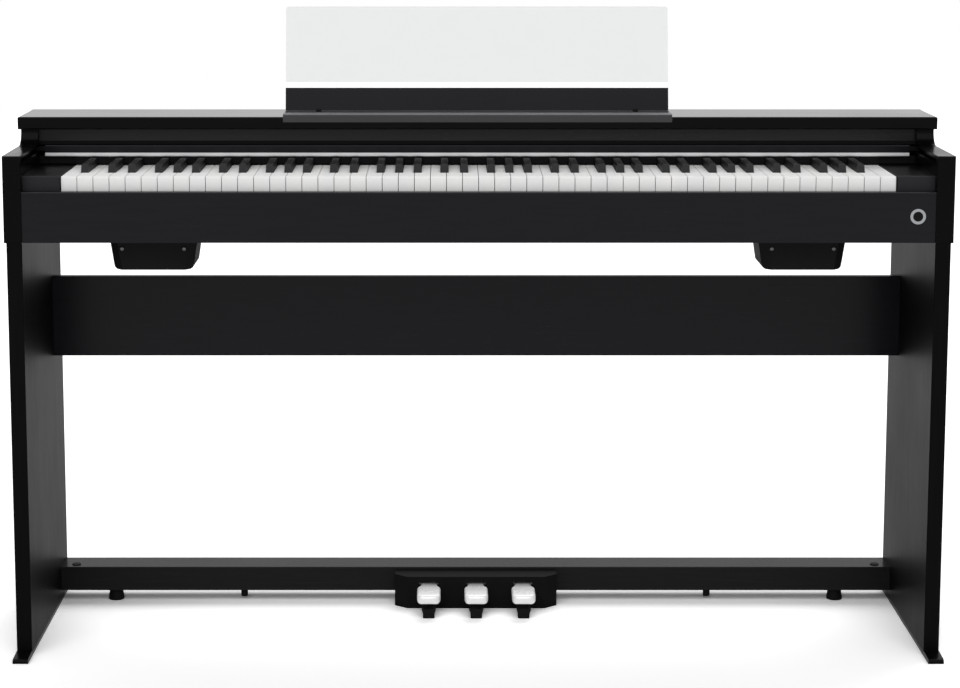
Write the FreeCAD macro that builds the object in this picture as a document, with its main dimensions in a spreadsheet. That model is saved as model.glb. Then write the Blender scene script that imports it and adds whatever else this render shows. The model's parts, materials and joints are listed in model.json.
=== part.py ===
"""A compact digital piano on its stand, drawn as a parametric document.

Axes: +X to the player's right, +Y away from the player, +Z up.  The origin is on the floor, under
the middle of the whole outline, and every length is in millimetres.
"""
import FreeCAD, Part
import os
from types import SimpleNamespace

import Sketcher

DRIVING = {
    # outline
    "depth": 386.0,
    "toe_reach": 38.0,
    "case_overhang": 1.0,
    "case_bottom": 627.0,
    # stand
    "leg_thick": 23.0,
    "leg_inset": 3.0,
    "edge_round": 2.0,
    "skid_height": 6.0,
    "toe_back_height": 8.5,
    "toe_front_height": 6.5,
    "toe_round": 4.0,
    "panel_setback": 69.0,
    "panel_thick": 15.0,
    "panel_bottom": 408.0,
    "panel_height": 128.0,
    "beam_setback": 8.0,
    "beam_depth": 57.0,
    "beam_bottom": 18.5,
    "beam_height": 38.5,
    "adjuster_place": 583.0,
    "support_setback": 17.0,
    "adjuster_radius": 12.5,
    "adjuster_neck": 11.0,
    "adjuster_base": 5.0,
    "adjuster_taper": 13.0,
    "stem_radius": 4.0,
    "stem_reach": 22.0,
    "pad_place": 375.0,
    "pad_radius": 5.5,
    "pad_height": 13.5,
    "cap_inset": 22.5,
    "cap_radius": 7.0,
    "cap_height": 1.2,
    # pedals
    "pedal_pitch": 75.0,
    "pedal_width": 37.0,
    "pedal_neck": 24.0,
    "lever_length": 90.0,
    "head_length": 30.0,
    "throat_gap": 7.0,
    "tail_length": 11.0,
    "pedal_tail_gap": 3.0,
    "pedal_bottom": 28.5,
    "pedal_thick": 11.5,
    "pedal_round": 12.0,
    "pedal_edge": 2.5,
    "shaft_radius": 3.0,
    "box_depth": 39.0,
    "box_corner": 17.0,
    "box_front_half": 110.0,
    "box_rear_half": 130.0,
    "box_headroom": 8.0,
    "box_wall": 4.0,
    "window_gap": 3.0,
    "window_drop": 12.5,
    "window_rise": 4.0,
    "base_thick": 3.0,
    "finger_width": 15.0,
    "finger_setback": 11.0,
    "finger_tip_drop": 12.5,
    "finger_back_drop": 4.5,
    "lug_thick": 6.0,
    "lug_depth": 16.0,
    "lug_rise": 2.0,
    "lug_outer_place": 105.0,
    "leaf_thick": 1.0,
    "leaf_width": 12.0,
    "leaf_reach": 14.0,
    "leaf_gap": 1.5,
    # case
    "cheek_thick": 26.0,
    "arm_depth": 166.0,
    "arm_lip": 1.0,
    "shoulder_rise": 24.0,
    "arm_fillet": 22.0,
    "block_width": 55.9,
    "block_back": 170.0,
    "block_rise": 1.5,
    "bed_thick": 18.0,
    "slip_setback": 3.0,
    "slip_thick": 15.0,
    "slip_height": 75.0,
    "lid_front": 155.0,
    "lid_depth": 132.0,
    "lid_thick": 19.0,
    "lid_overhang": 3.0,
    "rear_setback": 9.0,
    "rear_thick": 15.0,
    "upper_rail_front": 175.0,
    "upper_rail_thick": 12.0,
    "upper_rail_drop": 19.0,
    "felt_rail_front": 174.0,
    "felt_rail_depth": 16.0,
    "felt_thick": 3.0,
    "felt_clearance": 2.5,
    # sliding key cover
    "cover_front": 170.0,
    "cover_thick": 12.0,
    "cover_clearance": 1.5,
    "cover_end_gap": 9.5,
    "cover_rear_gap": 2.0,
    "trim_height": 6.0,
    "trim_depth": 10.0,
    "groove_height": 8.0,
    "groove_depth": 6.0,
    "groove_front": 14.0,
    "runner_length": 24.0,
    "runner_gap": 0.3,
    # music rest
    "tray_half": 295.5,
    "tray_depth": 63.0,
    "tray_sink": 8.0,
    "tray_thick": 12.0,
    "tray_groove_depth": 3.0,
    "rest_lean": 12.0,
    "rest_gap": 2.0,
    "rest_rise": 5.0,
    "rest_half": 295.5,
    "bar_height": 34.5,
    "bar_thick": 10.0,
    "screen_height": 139.0,
    "screen_thick": 4.0,
    "screen_sink": 12.0,
    "screen_round": 5.0,
    "peg_place": 244.0,
    "peg_radius": 4.0,
    "peg_length": 22.0,
    # keys
    "key_setback": 22.0,
    "key_pitch": 23.6,
    "key_gap": 1.0,
    "key_stand": 20.5,
    "white_height": 21.0,
    "head_length": 50.0,
    "pivot_reach": 215.0,
    "pivot_drop": 16.5,
    "tail_reach": 8.0,
    "tail_notch": 2.0,
    "tail_notch_reach": 16.0,
    "key_wall": 2.5,
    "key_round": 1.0,
    "black_width": 11.0,
    "black_gap": 0.8,
    "black_foot_gap": 1.5,
    "black_length": 95.0,
    "black_rise": 12.0,
    "black_slope": 6.0,
    "black_round": 1.5,
    "key_dip": 10.0,
    # key frame
    "frame_front": 30.0,
    "frame_plate": 4.0,
    "frame_rear_reach": 18.0,
    "frame_rail_depth": 20.0,
    "rod_radius": 2.0,
    "rib_thick": 2.5,
    "rib_depth": 14.0,
    "rib_rise": 6.0,
    "stop_felt_thick": 4.0,
    "sensor_front": 100.0,
    "sensor_depth": 50.0,
    "sensor_rise": 11.0,
    "sensor_lip": 4.0,
    "board_thick": 1.6,
    # electronics
    "main_board_half": 130.0,
    "main_board_rise": 10.0,
    "board_margin": 7.0,
    "post_radius": 3.0,
    "jack_place": -430.0,
    "jack_rise": 40.0,
    "jack_half": 60.0,
    "jack_half_height": 20.0,
    "jack_plate": 2.0,
    "jack_rim": 5.0,
    "jack_spread": 30.0,
    "jack_barrel": 6.0,
    "jack_reach": 14.0,
    "phone_bore": 3.2,
    "inlet_bore": 2.8,
    "jack_bore_depth": 12.0,
    # speakers
    "speaker_inner": 420.0,
    "speaker_width": 134.0,
    "speaker_front": 80.0,
    "speaker_depth": 91.0,
    "speaker_height": 52.0,
    "speaker_draft": 8.0,
    "speaker_wall": 4.0,
    "speaker_round": 7.0,
    "speaker_bevel": 12.0,
    "driver_radius": 38.0,
    "driver_flange": 3.0,
    "magnet_radius": 20.0,
    "driver_height": 40.0,
    "slot_width": 4.0,
    "slot_length": 56.0,
    "slot_field": 54.0,
    # power button
    "button_inset": 26.5,
    "button_height": 39.0,
    "ring_radius": 11.35,
    "ring_flange": 1.2,
    "ring_barrel": 8.8,
    "ring_reach": 11.0,
    "button_radius": 7.2,
    "button_proud": 2.0,
    "button_reach": 9.0,
    # fits
    "fit_gap": 0.05,
}

WHITE_COUNT = 52
WHITES_BEFORE_FIRST_OCTAVE = 2
OCTAVES = 7
SINGLE_OCTAVE = 3
SLOT_COUNT = 7

# for each white key of an octave: the black keys at its left and right, or None where it has none
BLACK_SHIFT = {"cs": -3.0, "ds": 3.0, "fs": -4.0, "gs": 0.0, "as": 4.0}
WHITE_NEIGHBOURS = {
    "c": (None, "cs"),
    "d": ("cs", "ds"),
    "e": ("ds", None),
    "f": (None, "fs"),
    "g": ("fs", "gs"),
    "a": ("gs", "as"),
    "b": ("as", None),
}
WHITE_ORDER = list(WHITE_NEIGHBOURS)
BLACK_AFTER = {"cs": 1, "ds": 2, "fs": 4, "gs": 5, "as": 6}


class Size:
    """A length or angle that carries its number and the expression that gives it."""

    def __init__(self, number, text):
        self.number = float(number)
        self.text = text

    def __add__(self, other):
        other = as_size(other)
        return Size(self.number + other.number, f"({self.text} + {other.text})")

    def __sub__(self, other):
        other = as_size(other)
        return Size(self.number - other.number, f"({self.text} - {other.text})")

    def __mul__(self, other):
        other = as_size(other)
        return Size(self.number * other.number, f"({self.text} * {other.text})")

    def __truediv__(self, other):
        other = as_size(other)
        return Size(self.number / other.number, f"({self.text} / {other.text})")

    def __neg__(self):
        return Size(-self.number, f"(0 - {self.text})")

    __radd__ = __add__
    __rmul__ = __mul__


def as_size(value):
    """Turns a plain number into a Size, and leaves a Size as it is."""
    if isinstance(value, Size):
        return value
    return Size(value, f"({float(value)})")


def make_sheet(document, values):
    """Writes the driving dimensions into the sheet and returns them by name."""
    sheet = document.addObject("Spreadsheet::Sheet", "Sizes")
    sizes = {}
    for row, (alias, number) in enumerate(values.items(), start=1):
        sheet.set(f"A{row}", alias)
        sheet.set(f"B{row}", str(number))
        sheet.setAlias(f"B{row}", alias)
        sizes[alias] = Size(number, f"Sizes.{alias}")
    return SimpleNamespace(**sizes)


doc = FreeCAD.newDocument("digital_piano")
z = make_sheet(doc, DRIVING)
doc.recompute()

NODES = {}

# places that several pieces share
keyboard_half = z.key_pitch * WHITE_COUNT / 2
cheek_inner = keyboard_half + z.block_width
half_width = cheek_inner + z.cheek_thick
leg_outer = half_width - z.leg_inset
leg_inner = leg_outer - z.leg_thick
toe_tip = -(z.depth / 2)
back = z.depth / 2
leg_front = toe_tip + z.toe_reach
case_front = leg_front - z.case_overhang
rear_back = back - z.rear_setback
rear_front = rear_back - z.rear_thick
beam_front = back - z.beam_setback - z.beam_depth
bed_top = z.case_bottom + z.bed_thick
slip_top = z.case_bottom + z.slip_height
white_top = slip_top + z.key_stand
white_bottom = white_top - z.white_height
black_top = white_top + z.black_rise
key_front = case_front + z.key_setback
pivot_y = key_front + z.pivot_reach
pivot_z = white_top - z.pivot_drop
key_back = pivot_y + z.tail_reach
cover_bottom = black_top + z.cover_clearance + z.trim_height
cover_top = cover_bottom + z.cover_thick
arm_top = cover_top + z.arm_lip
side_top = arm_top + z.shoulder_rise
slip_front = case_front + z.slip_setback
slip_back = slip_front + z.slip_thick


def node(name, thing):
    """Registers a finished piece under the name of its file."""
    thing.Label = name
    NODES[name] = thing
    return thing


def bind(thing, path, size):
    """Ties one property to the sheet."""
    thing.setExpression(path, as_size(size).text)


def place(thing, x=0, y=0, height=0):
    """Ties the position of a piece to the sheet."""
    bind(thing, "Placement.Base.x", x)
    bind(thing, "Placement.Base.y", y)
    bind(thing, "Placement.Base.z", height)


def side_span(side, inner, outer):
    """Returns the low and high X of a span on the left (-1) or right (+1) side."""
    if side > 0:
        return inner, outer
    return -outer, -inner


# ---- PartDesign helpers: every outline is drawn in the part's own coordinates ----

def new_body(name):
    """Starts an empty body."""
    return doc.addObject("PartDesign::Body", name)


def origin_feature(body, role):
    """Finds one of the body's own planes or axes."""
    for feature in body.Origin.OriginFeatures:
        if feature.Role == role:
            return feature
    raise ValueError(role)


def new_sketch(body, plane, level):
    """Attaches a sketch to one of the body's planes, lifted to level along the plane's axis."""
    sketch = body.newObject("Sketcher::SketchObject", f"{body.Name}_outline")
    sketch.AttachmentSupport = [(origin_feature(body, f"{plane}_Plane"), "")]
    sketch.MapMode = "FlatFace"
    lift = as_size(level)
    if plane == "XZ":
        lift = -lift
    bind(sketch, "AttachmentOffset.Base.z", lift)
    return sketch


def draw_polygon(sketch, points):
    """Closes a polygon with each corner tied to the sheet."""
    corners = [(as_size(across), as_size(up)) for across, up in points]
    ends = [FreeCAD.Vector(across.number, up.number, 0) for across, up in corners]
    first = sketch.GeometryCount
    count = len(ends)
    for index in range(count):
        sketch.addGeometry(Part.LineSegment(ends[index], ends[(index + 1) % count]), False)
    for index in range(count):
        following = first + (index + 1) % count
        sketch.addConstraint(Sketcher.Constraint("Coincident", first + index, 2, following, 1))
    for index, (across, up) in enumerate(corners):
        for kind, size in (("DistanceX", across), ("DistanceY", up)):
            tie = Sketcher.Constraint(kind, first + index, 1, size.number)
            number = sketch.addConstraint(tie)
            bind(sketch, f"Constraints[{number}]", size)


def draw_circle(sketch, across, up, radius):
    """Draws a circle with its centre and radius tied to the sheet."""
    across, up, radius = as_size(across), as_size(up), as_size(radius)
    centre = FreeCAD.Vector(across.number, up.number, 0)
    circle = sketch.addGeometry(Part.Circle(centre, FreeCAD.Vector(0, 0, 1), radius.number), False)
    ties = (
        (Sketcher.Constraint("DistanceX", circle, 3, across.number), across),
        (Sketcher.Constraint("DistanceY", circle, 3, up.number), up),
        (Sketcher.Constraint("Radius", circle, radius.number), radius),
    )
    for tie, size in ties:
        number = sketch.addConstraint(tie)
        bind(sketch, f"Constraints[{number}]", size)


def rectangle(x_span, y_span):
    """Returns the corners of a rectangle between two spans."""
    return [
        (x_span[0], y_span[0]),
        (x_span[1], y_span[0]),
        (x_span[1], y_span[1]),
        (x_span[0], y_span[1]),
    ]


def pad(body, plane, level, length, points):
    """Pads a polygon from level towards the plane's positive axis."""
    sketch = new_sketch(body, plane, level)
    draw_polygon(sketch, points)
    feature = body.newObject("PartDesign::Pad", f"{body.Name}_pad")
    feature.Profile = sketch
    feature.Reversed = plane == "XZ"
    bind(feature, "Length", length)
    return feature


def pocket(body, plane, level, length, points=None, circles=()):
    """Cuts polygons or circles from level towards the plane's positive axis."""
    sketch = new_sketch(body, plane, level)
    if points:
        draw_polygon(sketch, points)
    for across, up, radius in circles:
        draw_circle(sketch, across, up, radius)
    feature = body.newObject("PartDesign::Pocket", f"{body.Name}_pocket")
    feature.Profile = sketch
    feature.Reversed = plane != "XZ"
    bind(feature, "Length", length)
    return feature


def edges_on(**planes):
    """Picks the edges that lie on all the given planes, such as y=leg_front."""
    def picked(edge):
        for axis, size in planes.items():
            wanted = as_size(size).number
            for vertex in edge.Vertexes:
                if abs(getattr(vertex.Point, axis) - wanted) > 1e-5:
                    return False
        return True
    return picked


def steep_on(**planes):
    """Picks the edges that lie on all the given planes and aren't level."""
    on_planes = edges_on(**planes)

    def picked(edge):
        heights = [vertex.Point.z for vertex in edge.Vertexes]
        return on_planes(edge) and max(heights) - min(heights) > 1e-5
    return picked


def any_of(*tests):
    """Picks the edges that pass one of several tests."""
    return lambda edge: any(test(edge) for test in tests)


def dress(body, kind, size_name, size, picked):
    """Adds a fillet or chamfer on the edges that picked accepts."""
    doc.recompute()
    base = body.Tip
    names = [
        f"Edge{number}"
        for number, edge in enumerate(base.Shape.Edges, start=1)
        if picked(edge)
    ]
    feature = body.newObject(f"PartDesign::{kind}", f"{body.Name}_{kind.lower()}")
    feature.Base = (base, names)
    bind(feature, size_name, size)
    return feature


def fillet(body, radius, picked):
    """Rounds the picked edges."""
    return dress(body, "Fillet", "Radius", radius, picked)


def chamfer(body, size, picked):
    """Bevels the picked edges."""
    return dress(body, "Chamfer", "Size", size, picked)


def prism(name, plane, level, length, points):
    """Makes a body from one padded outline."""
    body = new_body(name)
    pad(body, plane, level, length, points)
    return body


def board(name, x_span, y_span, z_span, rounding=None, picked=None):
    """Makes a rectangular board, with some of its edges rounded."""
    body = prism(name, "XY", z_span[0], z_span[1] - z_span[0], rectangle(x_span, y_span))
    if rounding is not None:
        fillet(body, rounding, picked)
    return body


def turned(name, profile):
    """Revolves a closed profile, drawn as radius and height, about the body's own Z axis."""
    body = new_body(name)
    sketch = new_sketch(body, "XZ", 0)
    draw_polygon(sketch, profile)
    feature = body.newObject("PartDesign::Revolution", f"{name}_turn")
    feature.Profile = sketch
    feature.ReferenceAxis = (sketch, ["V_Axis"])
    feature.Angle = 360
    return body


# ---- Part helpers ----

def block(name, x_span, y_span, z_span):
    """Makes a plain box between three spans."""
    box = doc.addObject("Part::Box", name)
    bind(box, "Length", x_span[1] - x_span[0])
    bind(box, "Width", y_span[1] - y_span[0])
    bind(box, "Height", z_span[1] - z_span[0])
    place(box, x_span[0], y_span[0], z_span[0])
    return box


AXIS_TURN = {
    "X": FreeCAD.Rotation(FreeCAD.Vector(0, 1, 0), 90),
    "Y": FreeCAD.Rotation(FreeCAD.Vector(1, 0, 0), -90),
    "Z": FreeCAD.Rotation(),
}


def cylinder(name, axis, radius, length, start):
    """Makes a cylinder that runs from start along the positive axis."""
    rod = doc.addObject("Part::Cylinder", name)
    bind(rod, "Radius", radius)
    bind(rod, "Height", length)
    rod.Placement = FreeCAD.Placement(FreeCAD.Vector(), AXIS_TURN[axis])
    place(rod, *start)
    return rod


def fused(name, shapes):
    """Joins shapes into one solid."""
    union = doc.addObject("Part::MultiFuse", name)
    union.Shapes = shapes
    return union


def cut(name, base, tools):
    """Takes the tools away from the base."""
    tool = tools[0]
    if len(tools) > 1:
        tool = fused(f"{name}_tools", tools)
    result = doc.addObject("Part::Cut", name)
    result.Base = base
    result.Tool = tool
    return result


def group(name, things):
    """Keeps several separate solids in one node."""
    compound = doc.addObject("Part::Compound", name)
    compound.Links = things
    return compound


# ---- stand ----

def make_legs():
    """Two side panels, each standing on a skid whose toe reaches forward."""
    for side, word in ((-1, "left"), (1, "right")):
        x_span = side_span(side, leg_inner, leg_outer)
        node(f"{word}_leg", board(
            f"{word}_leg",
            x_span,
            (leg_front, back),
            (z.skid_height, z.case_bottom),
            z.edge_round,
            any_of(edges_on(x=x_span[0], y=leg_front), edges_on(x=x_span[1], y=leg_front)),
        ))
        outline = [
            (toe_tip, 0),
            (back, 0),
            (back, z.skid_height),
            (leg_front, z.skid_height),
            (leg_front, z.toe_back_height),
            (toe_tip, z.toe_front_height),
        ]
        foot = prism(f"{word}_foot", "YZ", x_span[0], z.leg_thick, outline)
        fillet(foot, z.toe_round, edges_on(y=toe_tip, z=z.toe_front_height))
        node(f"{word}_foot", foot)


def make_stand_rails():
    """The modesty panel and the beam that carry the pedals between the legs."""
    panel_front = back - z.panel_setback - z.panel_thick
    panel_top = z.panel_bottom + z.panel_height
    node("back_panel", board(
        "back_panel",
        (-leg_inner, leg_inner),
        (panel_front, panel_front + z.panel_thick),
        (z.panel_bottom, panel_top),
        z.edge_round,
        any_of(edges_on(y=panel_front, z=panel_top), edges_on(y=panel_front, z=z.panel_bottom)),
    ))
    beam_top = z.beam_bottom + z.beam_height
    beam = board(
        "pedal_beam",
        (-leg_inner, leg_inner),
        (beam_front, beam_front + z.beam_depth),
        (z.beam_bottom, beam_top),
        z.edge_round,
        edges_on(y=beam_front, z=beam_top),
    )
    stem_hole = z.stem_radius + z.fit_gap
    support_line = beam_front + z.support_setback
    holes = [(side * z.adjuster_place, support_line, stem_hole) for side in (-1, 1)]
    pocket(beam, "XY", z.beam_bottom, z.stem_reach + z.adjuster_base, circles=holes)
    node("pedal_beam", beam)

    foot_gap = z.beam_bottom - z.fit_gap
    profile = [
        (0, 0),
        (z.adjuster_radius, 0),
        (z.adjuster_radius, z.adjuster_base),
        (z.adjuster_neck, z.adjuster_taper),
        (z.adjuster_neck, foot_gap),
        (z.stem_radius, foot_gap),
        (z.stem_radius, z.beam_bottom + z.stem_reach),
        (0, z.beam_bottom + z.stem_reach),
    ]
    for side, word in ((-1, "left"), (1, "right")):
        foot = turned(f"{word}_adjuster", profile)
        place(foot, side * z.adjuster_place, support_line)
        node(f"{word}_adjuster", foot)

    pads = []
    caps = []
    cap_place = leg_inner - z.cap_inset
    for side, word in ((-1, "left"), (1, "right")):
        pad_base = (side * z.pad_place, support_line, z.beam_bottom - z.pad_height)
        pads.append(cylinder(f"{word}_pad", "Z", z.pad_radius, z.pad_height, pad_base))
        cap_base = (side * cap_place, support_line, beam_top)
        caps.append(cylinder(f"{word}_cap", "Z", z.cap_radius, z.cap_height, cap_base))
    node("beam_pads", group("beam_pads", pads))
    node("beam_caps", group("beam_caps", caps))


def box_outline(inset):
    """Returns the plan of the pedal box, drawn in by inset on its front and sides."""
    front = beam_front - z.box_depth + inset
    corner = beam_front - z.box_depth + z.box_corner
    front_half = z.box_front_half - inset / 2
    rear_half = z.box_rear_half - inset
    return [
        (-rear_half, beam_front),
        (-rear_half, corner),
        (-front_half, front),
        (front_half, front),
        (rear_half, corner),
        (rear_half, beam_front),
    ]


def make_pedal_unit():
    """A box on a base plate, with three levers on one shaft and a leaf spring over each tail."""
    box_front = beam_front - z.box_depth
    tail = beam_front - z.pedal_tail_gap
    pivot_place = tail - z.tail_length
    tip = pivot_place - z.lever_length
    shoulder = tip + z.head_length
    throat = box_front - z.throat_gap
    pedal_top = z.pedal_bottom + z.pedal_thick
    pivot_height = z.pedal_bottom + z.pedal_thick / 2
    places = [index * z.pedal_pitch for index in (-1, 0, 1)]
    roof = pedal_top + z.box_headroom
    shell_height = roof + z.box_wall - z.base_thick

    shell = prism("pedal_box", "XY", z.base_thick, shell_height, box_outline(as_size(0)))
    pocket(shell, "XY", z.base_thick, roof - z.base_thick, box_outline(z.box_wall))
    for place_x in places:
        half = z.pedal_neck / 2 + z.window_gap
        span = (place_x - half, place_x + half)
        window = rectangle(span, (z.pedal_bottom - z.window_drop, pedal_top + z.window_rise))
        pocket(shell, "XZ", box_front - z.box_wall, z.box_wall * 3, window)
    node("pedal_box", shell)

    plate = prism("base_plate", "XY", 0, z.base_thick, box_outline(as_size(0)))
    finger_tip = tip + z.finger_setback
    finger = [
        (finger_tip, 0),
        (box_front, 0),
        (box_front, z.pedal_bottom - z.finger_back_drop),
        (finger_tip, z.pedal_bottom - z.finger_tip_drop),
    ]
    solids = [plate]
    for number, place_x in enumerate(places):
        start = place_x - z.finger_width / 2
        solids.append(prism(f"finger_{number}", "YZ", start, z.finger_width, finger))
    lug_top = pedal_top + z.lug_rise
    lug_front = pivot_place - z.lug_depth / 2
    lug_span = (lug_front, lug_front + z.lug_depth)
    lug_places = [-z.lug_outer_place, -(z.pedal_pitch / 2), z.pedal_pitch / 2, z.lug_outer_place]
    for number, place_x in enumerate(lug_places):
        x_span = (place_x - z.lug_thick / 2, place_x + z.lug_thick / 2)
        solids.append(block(f"lug_{number}", x_span, lug_span, (z.base_thick / 2, lug_top)))
    shaft_half = z.lug_outer_place + z.lug_thick / 2
    bore = cylinder(
        "lug_bore",
        "X",
        z.shaft_radius + z.fit_gap,
        (shaft_half + z.lug_thick) * 2,
        (-shaft_half - z.lug_thick, pivot_place, pivot_height),
    )
    node("pedal_base", cut("pedal_base", fused("base_solid", solids), [bore]))
    node("pedal_shaft", cylinder(
        "pedal_shaft",
        "X",
        z.shaft_radius,
        shaft_half * 2,
        (-shaft_half, pivot_place, pivot_height),
    ))

    for name, place_x in zip(("soft_pedal", "sostenuto_pedal", "damper_pedal"), places):
        wide = (place_x - z.pedal_width / 2, place_x + z.pedal_width / 2)
        slim = (place_x - z.pedal_neck / 2, place_x + z.pedal_neck / 2)
        plan = [
            (wide[0], tip),
            (wide[1], tip),
            (wide[1], shoulder),
            (slim[1], throat),
            (slim[1], tail),
            (slim[0], tail),
            (slim[0], throat),
            (wide[0], shoulder),
        ]
        lever = prism(name, "XY", z.pedal_bottom, z.pedal_thick, plan)
        fillet(lever, z.pedal_round, any_of(
            edges_on(x=wide[0], y=tip),
            edges_on(x=wide[1], y=tip),
        ))
        fillet(lever, z.pedal_edge, edges_on(z=pedal_top))
        hole = (pivot_place, pivot_height, z.shaft_radius + z.fit_gap)
        pocket(lever, "YZ", slim[0] - 1, z.pedal_neck + 2, circles=[hole])
        node(name, lever)

    leaf_front = pivot_place - z.leaf_reach
    leaf_low = pedal_top + z.leaf_gap
    leaf_bend = pivot_place - z.leaf_thick * 2
    leaf_drop = leaf_bend + (roof - leaf_low)
    strip = [
        (leaf_front, roof - z.leaf_thick),
        (leaf_bend, roof - z.leaf_thick),
        (leaf_drop, leaf_low),
        (tail, leaf_low),
        (tail, leaf_low + z.leaf_thick),
        (leaf_drop + z.leaf_thick / 2, leaf_low + z.leaf_thick),
        (leaf_bend + z.leaf_thick / 2, roof),
        (leaf_front, roof),
    ]
    leaves = []
    for number, place_x in enumerate(places):
        start = place_x - z.leaf_width / 2
        leaves.append(prism(f"leaf_{number}", "YZ", start, z.leaf_width, strip))
    node("pedal_springs", group("pedal_springs", leaves))


# ---- case ----

def make_cheeks():
    """The two end panels, low along the keys and tall under the lid, grooved for the cover."""
    groove_bottom = cover_bottom + (z.cover_thick - z.groove_height) / 2
    outline = [
        (case_front, z.case_bottom),
        (back, z.case_bottom),
        (back, side_top),
        (case_front + z.arm_depth, side_top),
        (case_front + z.arm_depth, arm_top),
        (case_front, arm_top),
    ]
    groove = rectangle(
        (case_front + z.groove_front, rear_front),
        (groove_bottom, groove_bottom + z.groove_height),
    )
    for side, word in ((-1, "left"), (1, "right")):
        x_span = side_span(side, cheek_inner, half_width)
        cheek = prism(f"{word}_cheek", "YZ", x_span[0], z.cheek_thick, outline)
        fillet(cheek, z.arm_fillet, edges_on(y=case_front + z.arm_depth, z=arm_top))
        fillet(cheek, z.edge_round, edges_on(y=case_front, z=arm_top))
        groove_span = side_span(side, cheek_inner, cheek_inner + z.groove_depth)
        pocket(cheek, "YZ", groove_span[0], z.groove_depth, groove)
        node(f"{word}_cheek", cheek)


def make_case_boards():
    """The boards between the cheeks, and the lid on top of them."""
    across = (-cheek_inner, cheek_inner)
    node("keybed", board(
        "keybed", across, (slip_back, rear_front), (z.case_bottom, bed_top)
    ))
    slip = board(
        "key_slip",
        across,
        (slip_front, slip_back),
        (z.case_bottom, slip_top),
        z.edge_round,
        edges_on(y=slip_front, z=slip_top),
    )
    button_hole = (button_x, button_z, z.ring_barrel)
    pocket(slip, "XZ", slip_front - 1, z.slip_thick + 2, circles=[button_hole])
    node("key_slip", slip)

    for side, word in ((-1, "left"), (1, "right")):
        x_span = side_span(side, keyboard_half + z.key_gap, cheek_inner)
        block_top = white_top + z.block_rise
        y_span = (slip_back, case_front + z.block_back)
        node(f"{word}_key_block", board(
            f"{word}_key_block",
            x_span,
            y_span,
            (bed_top, block_top),
            z.edge_round,
            edges_on(y=y_span[0], z=block_top),
        ))

    rail_front = case_front + z.upper_rail_front
    node("upper_rail", board(
        "upper_rail",
        across,
        (rail_front, rail_front + z.upper_rail_thick),
        (side_top - z.upper_rail_drop, side_top),
    ))
    felt_rail_front = case_front + z.felt_rail_front
    felt_bottom = white_top + z.felt_clearance
    felt_top = cover_bottom - z.trim_height - z.runner_gap
    node("felt_rail", board(
        "felt_rail",
        across,
        (felt_rail_front, felt_rail_front + z.felt_rail_depth),
        (felt_bottom, felt_top),
    ))
    key_line = (-keyboard_half, keyboard_half)
    name_felt = block(
        "name_felt",
        key_line,
        (felt_rail_front - z.felt_thick, felt_rail_front),
        (felt_bottom, felt_top),
    )
    stop_top = white_bottom - z.key_dip - z.runner_gap
    frame_front = case_front + z.frame_front
    stop_felt = block(
        "stop_felt",
        key_line,
        (frame_front, frame_front + z.frame_rail_depth),
        (stop_top - z.stop_felt_thick, stop_top),
    )
    node("key_felts", group("key_felts", [name_felt, stop_felt]))

    lid_back = case_front + z.lid_front + z.lid_depth
    rear_outline = [
        (rear_front, z.case_bottom),
        (rear_back, z.case_bottom),
        (rear_back, side_top),
        (lid_back, side_top),
        (lid_back, side_top - z.rear_thick),
        (rear_front, side_top - z.rear_thick),
    ]
    rear = prism("rear_board", "YZ", -cheek_inner, cheek_inner * 2, rear_outline)
    jack_window = rectangle(
        (z.jack_place - z.jack_half + z.jack_rim, z.jack_place + z.jack_half - z.jack_rim),
        (jack_z - z.jack_half_height + z.jack_rim, jack_z + z.jack_half_height - z.jack_rim),
    )
    pocket(rear, "XZ", rear_front - 1, z.rear_thick + 2, jack_window)
    node("rear_board", rear)


def make_lid():
    """The top board, sunk at its front for the tray and bored at the rest's lean for its pegs."""
    half = half_width + z.lid_overhang
    front = case_front + z.lid_front
    top = side_top + z.lid_thick
    lid = board(
        "lid_board",
        (-half, half),
        (front, front + z.lid_depth),
        (side_top, top),
    )
    seat = rectangle(
        (-(z.tray_half + z.runner_gap), z.tray_half + z.runner_gap),
        (front - 1, front + z.tray_depth + z.runner_gap),
    )
    fillet(lid, z.edge_round, any_of(
        edges_on(x=-half, z=top),
        edges_on(x=half, z=top),
        edges_on(y=front, z=top),
        edges_on(y=front, z=side_top),
    ))
    pocket(lid, "XY", top - z.tray_sink, z.tray_sink + 1, seat)
    bores = []
    for side, word in ((-1, "left"), (1, "right")):
        bore = cylinder(
            f"{word}_peg_bore",
            "Z",
            z.peg_radius + z.fit_gap,
            z.peg_length * 3,
            (0, 0, 0),
        )
        lean_back(bore, side * z.peg_place, z.bar_thick / 2, -(z.peg_length * 2))
        bores.append(bore)
    node("top_board", cut("top_board", lid, bores))

    tray_bottom = top - z.tray_sink
    tray_top = tray_bottom + z.tray_thick
    tray = board(
        "rest_tray",
        (-z.tray_half, z.tray_half),
        (front, front + z.tray_depth),
        (tray_bottom, tray_top),
        z.edge_round,
        edges_on(y=front, z=tray_top),
    )
    channel = rectangle(
        (-z.tray_half - 1, z.tray_half + 1),
        (front + z.tray_depth / 2, front + z.tray_depth - z.tray_thick / 2),
    )
    pocket(tray, "XY", tray_top - z.tray_groove_depth, z.tray_groove_depth + 1, channel)
    node("rest_tray", tray)


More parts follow.
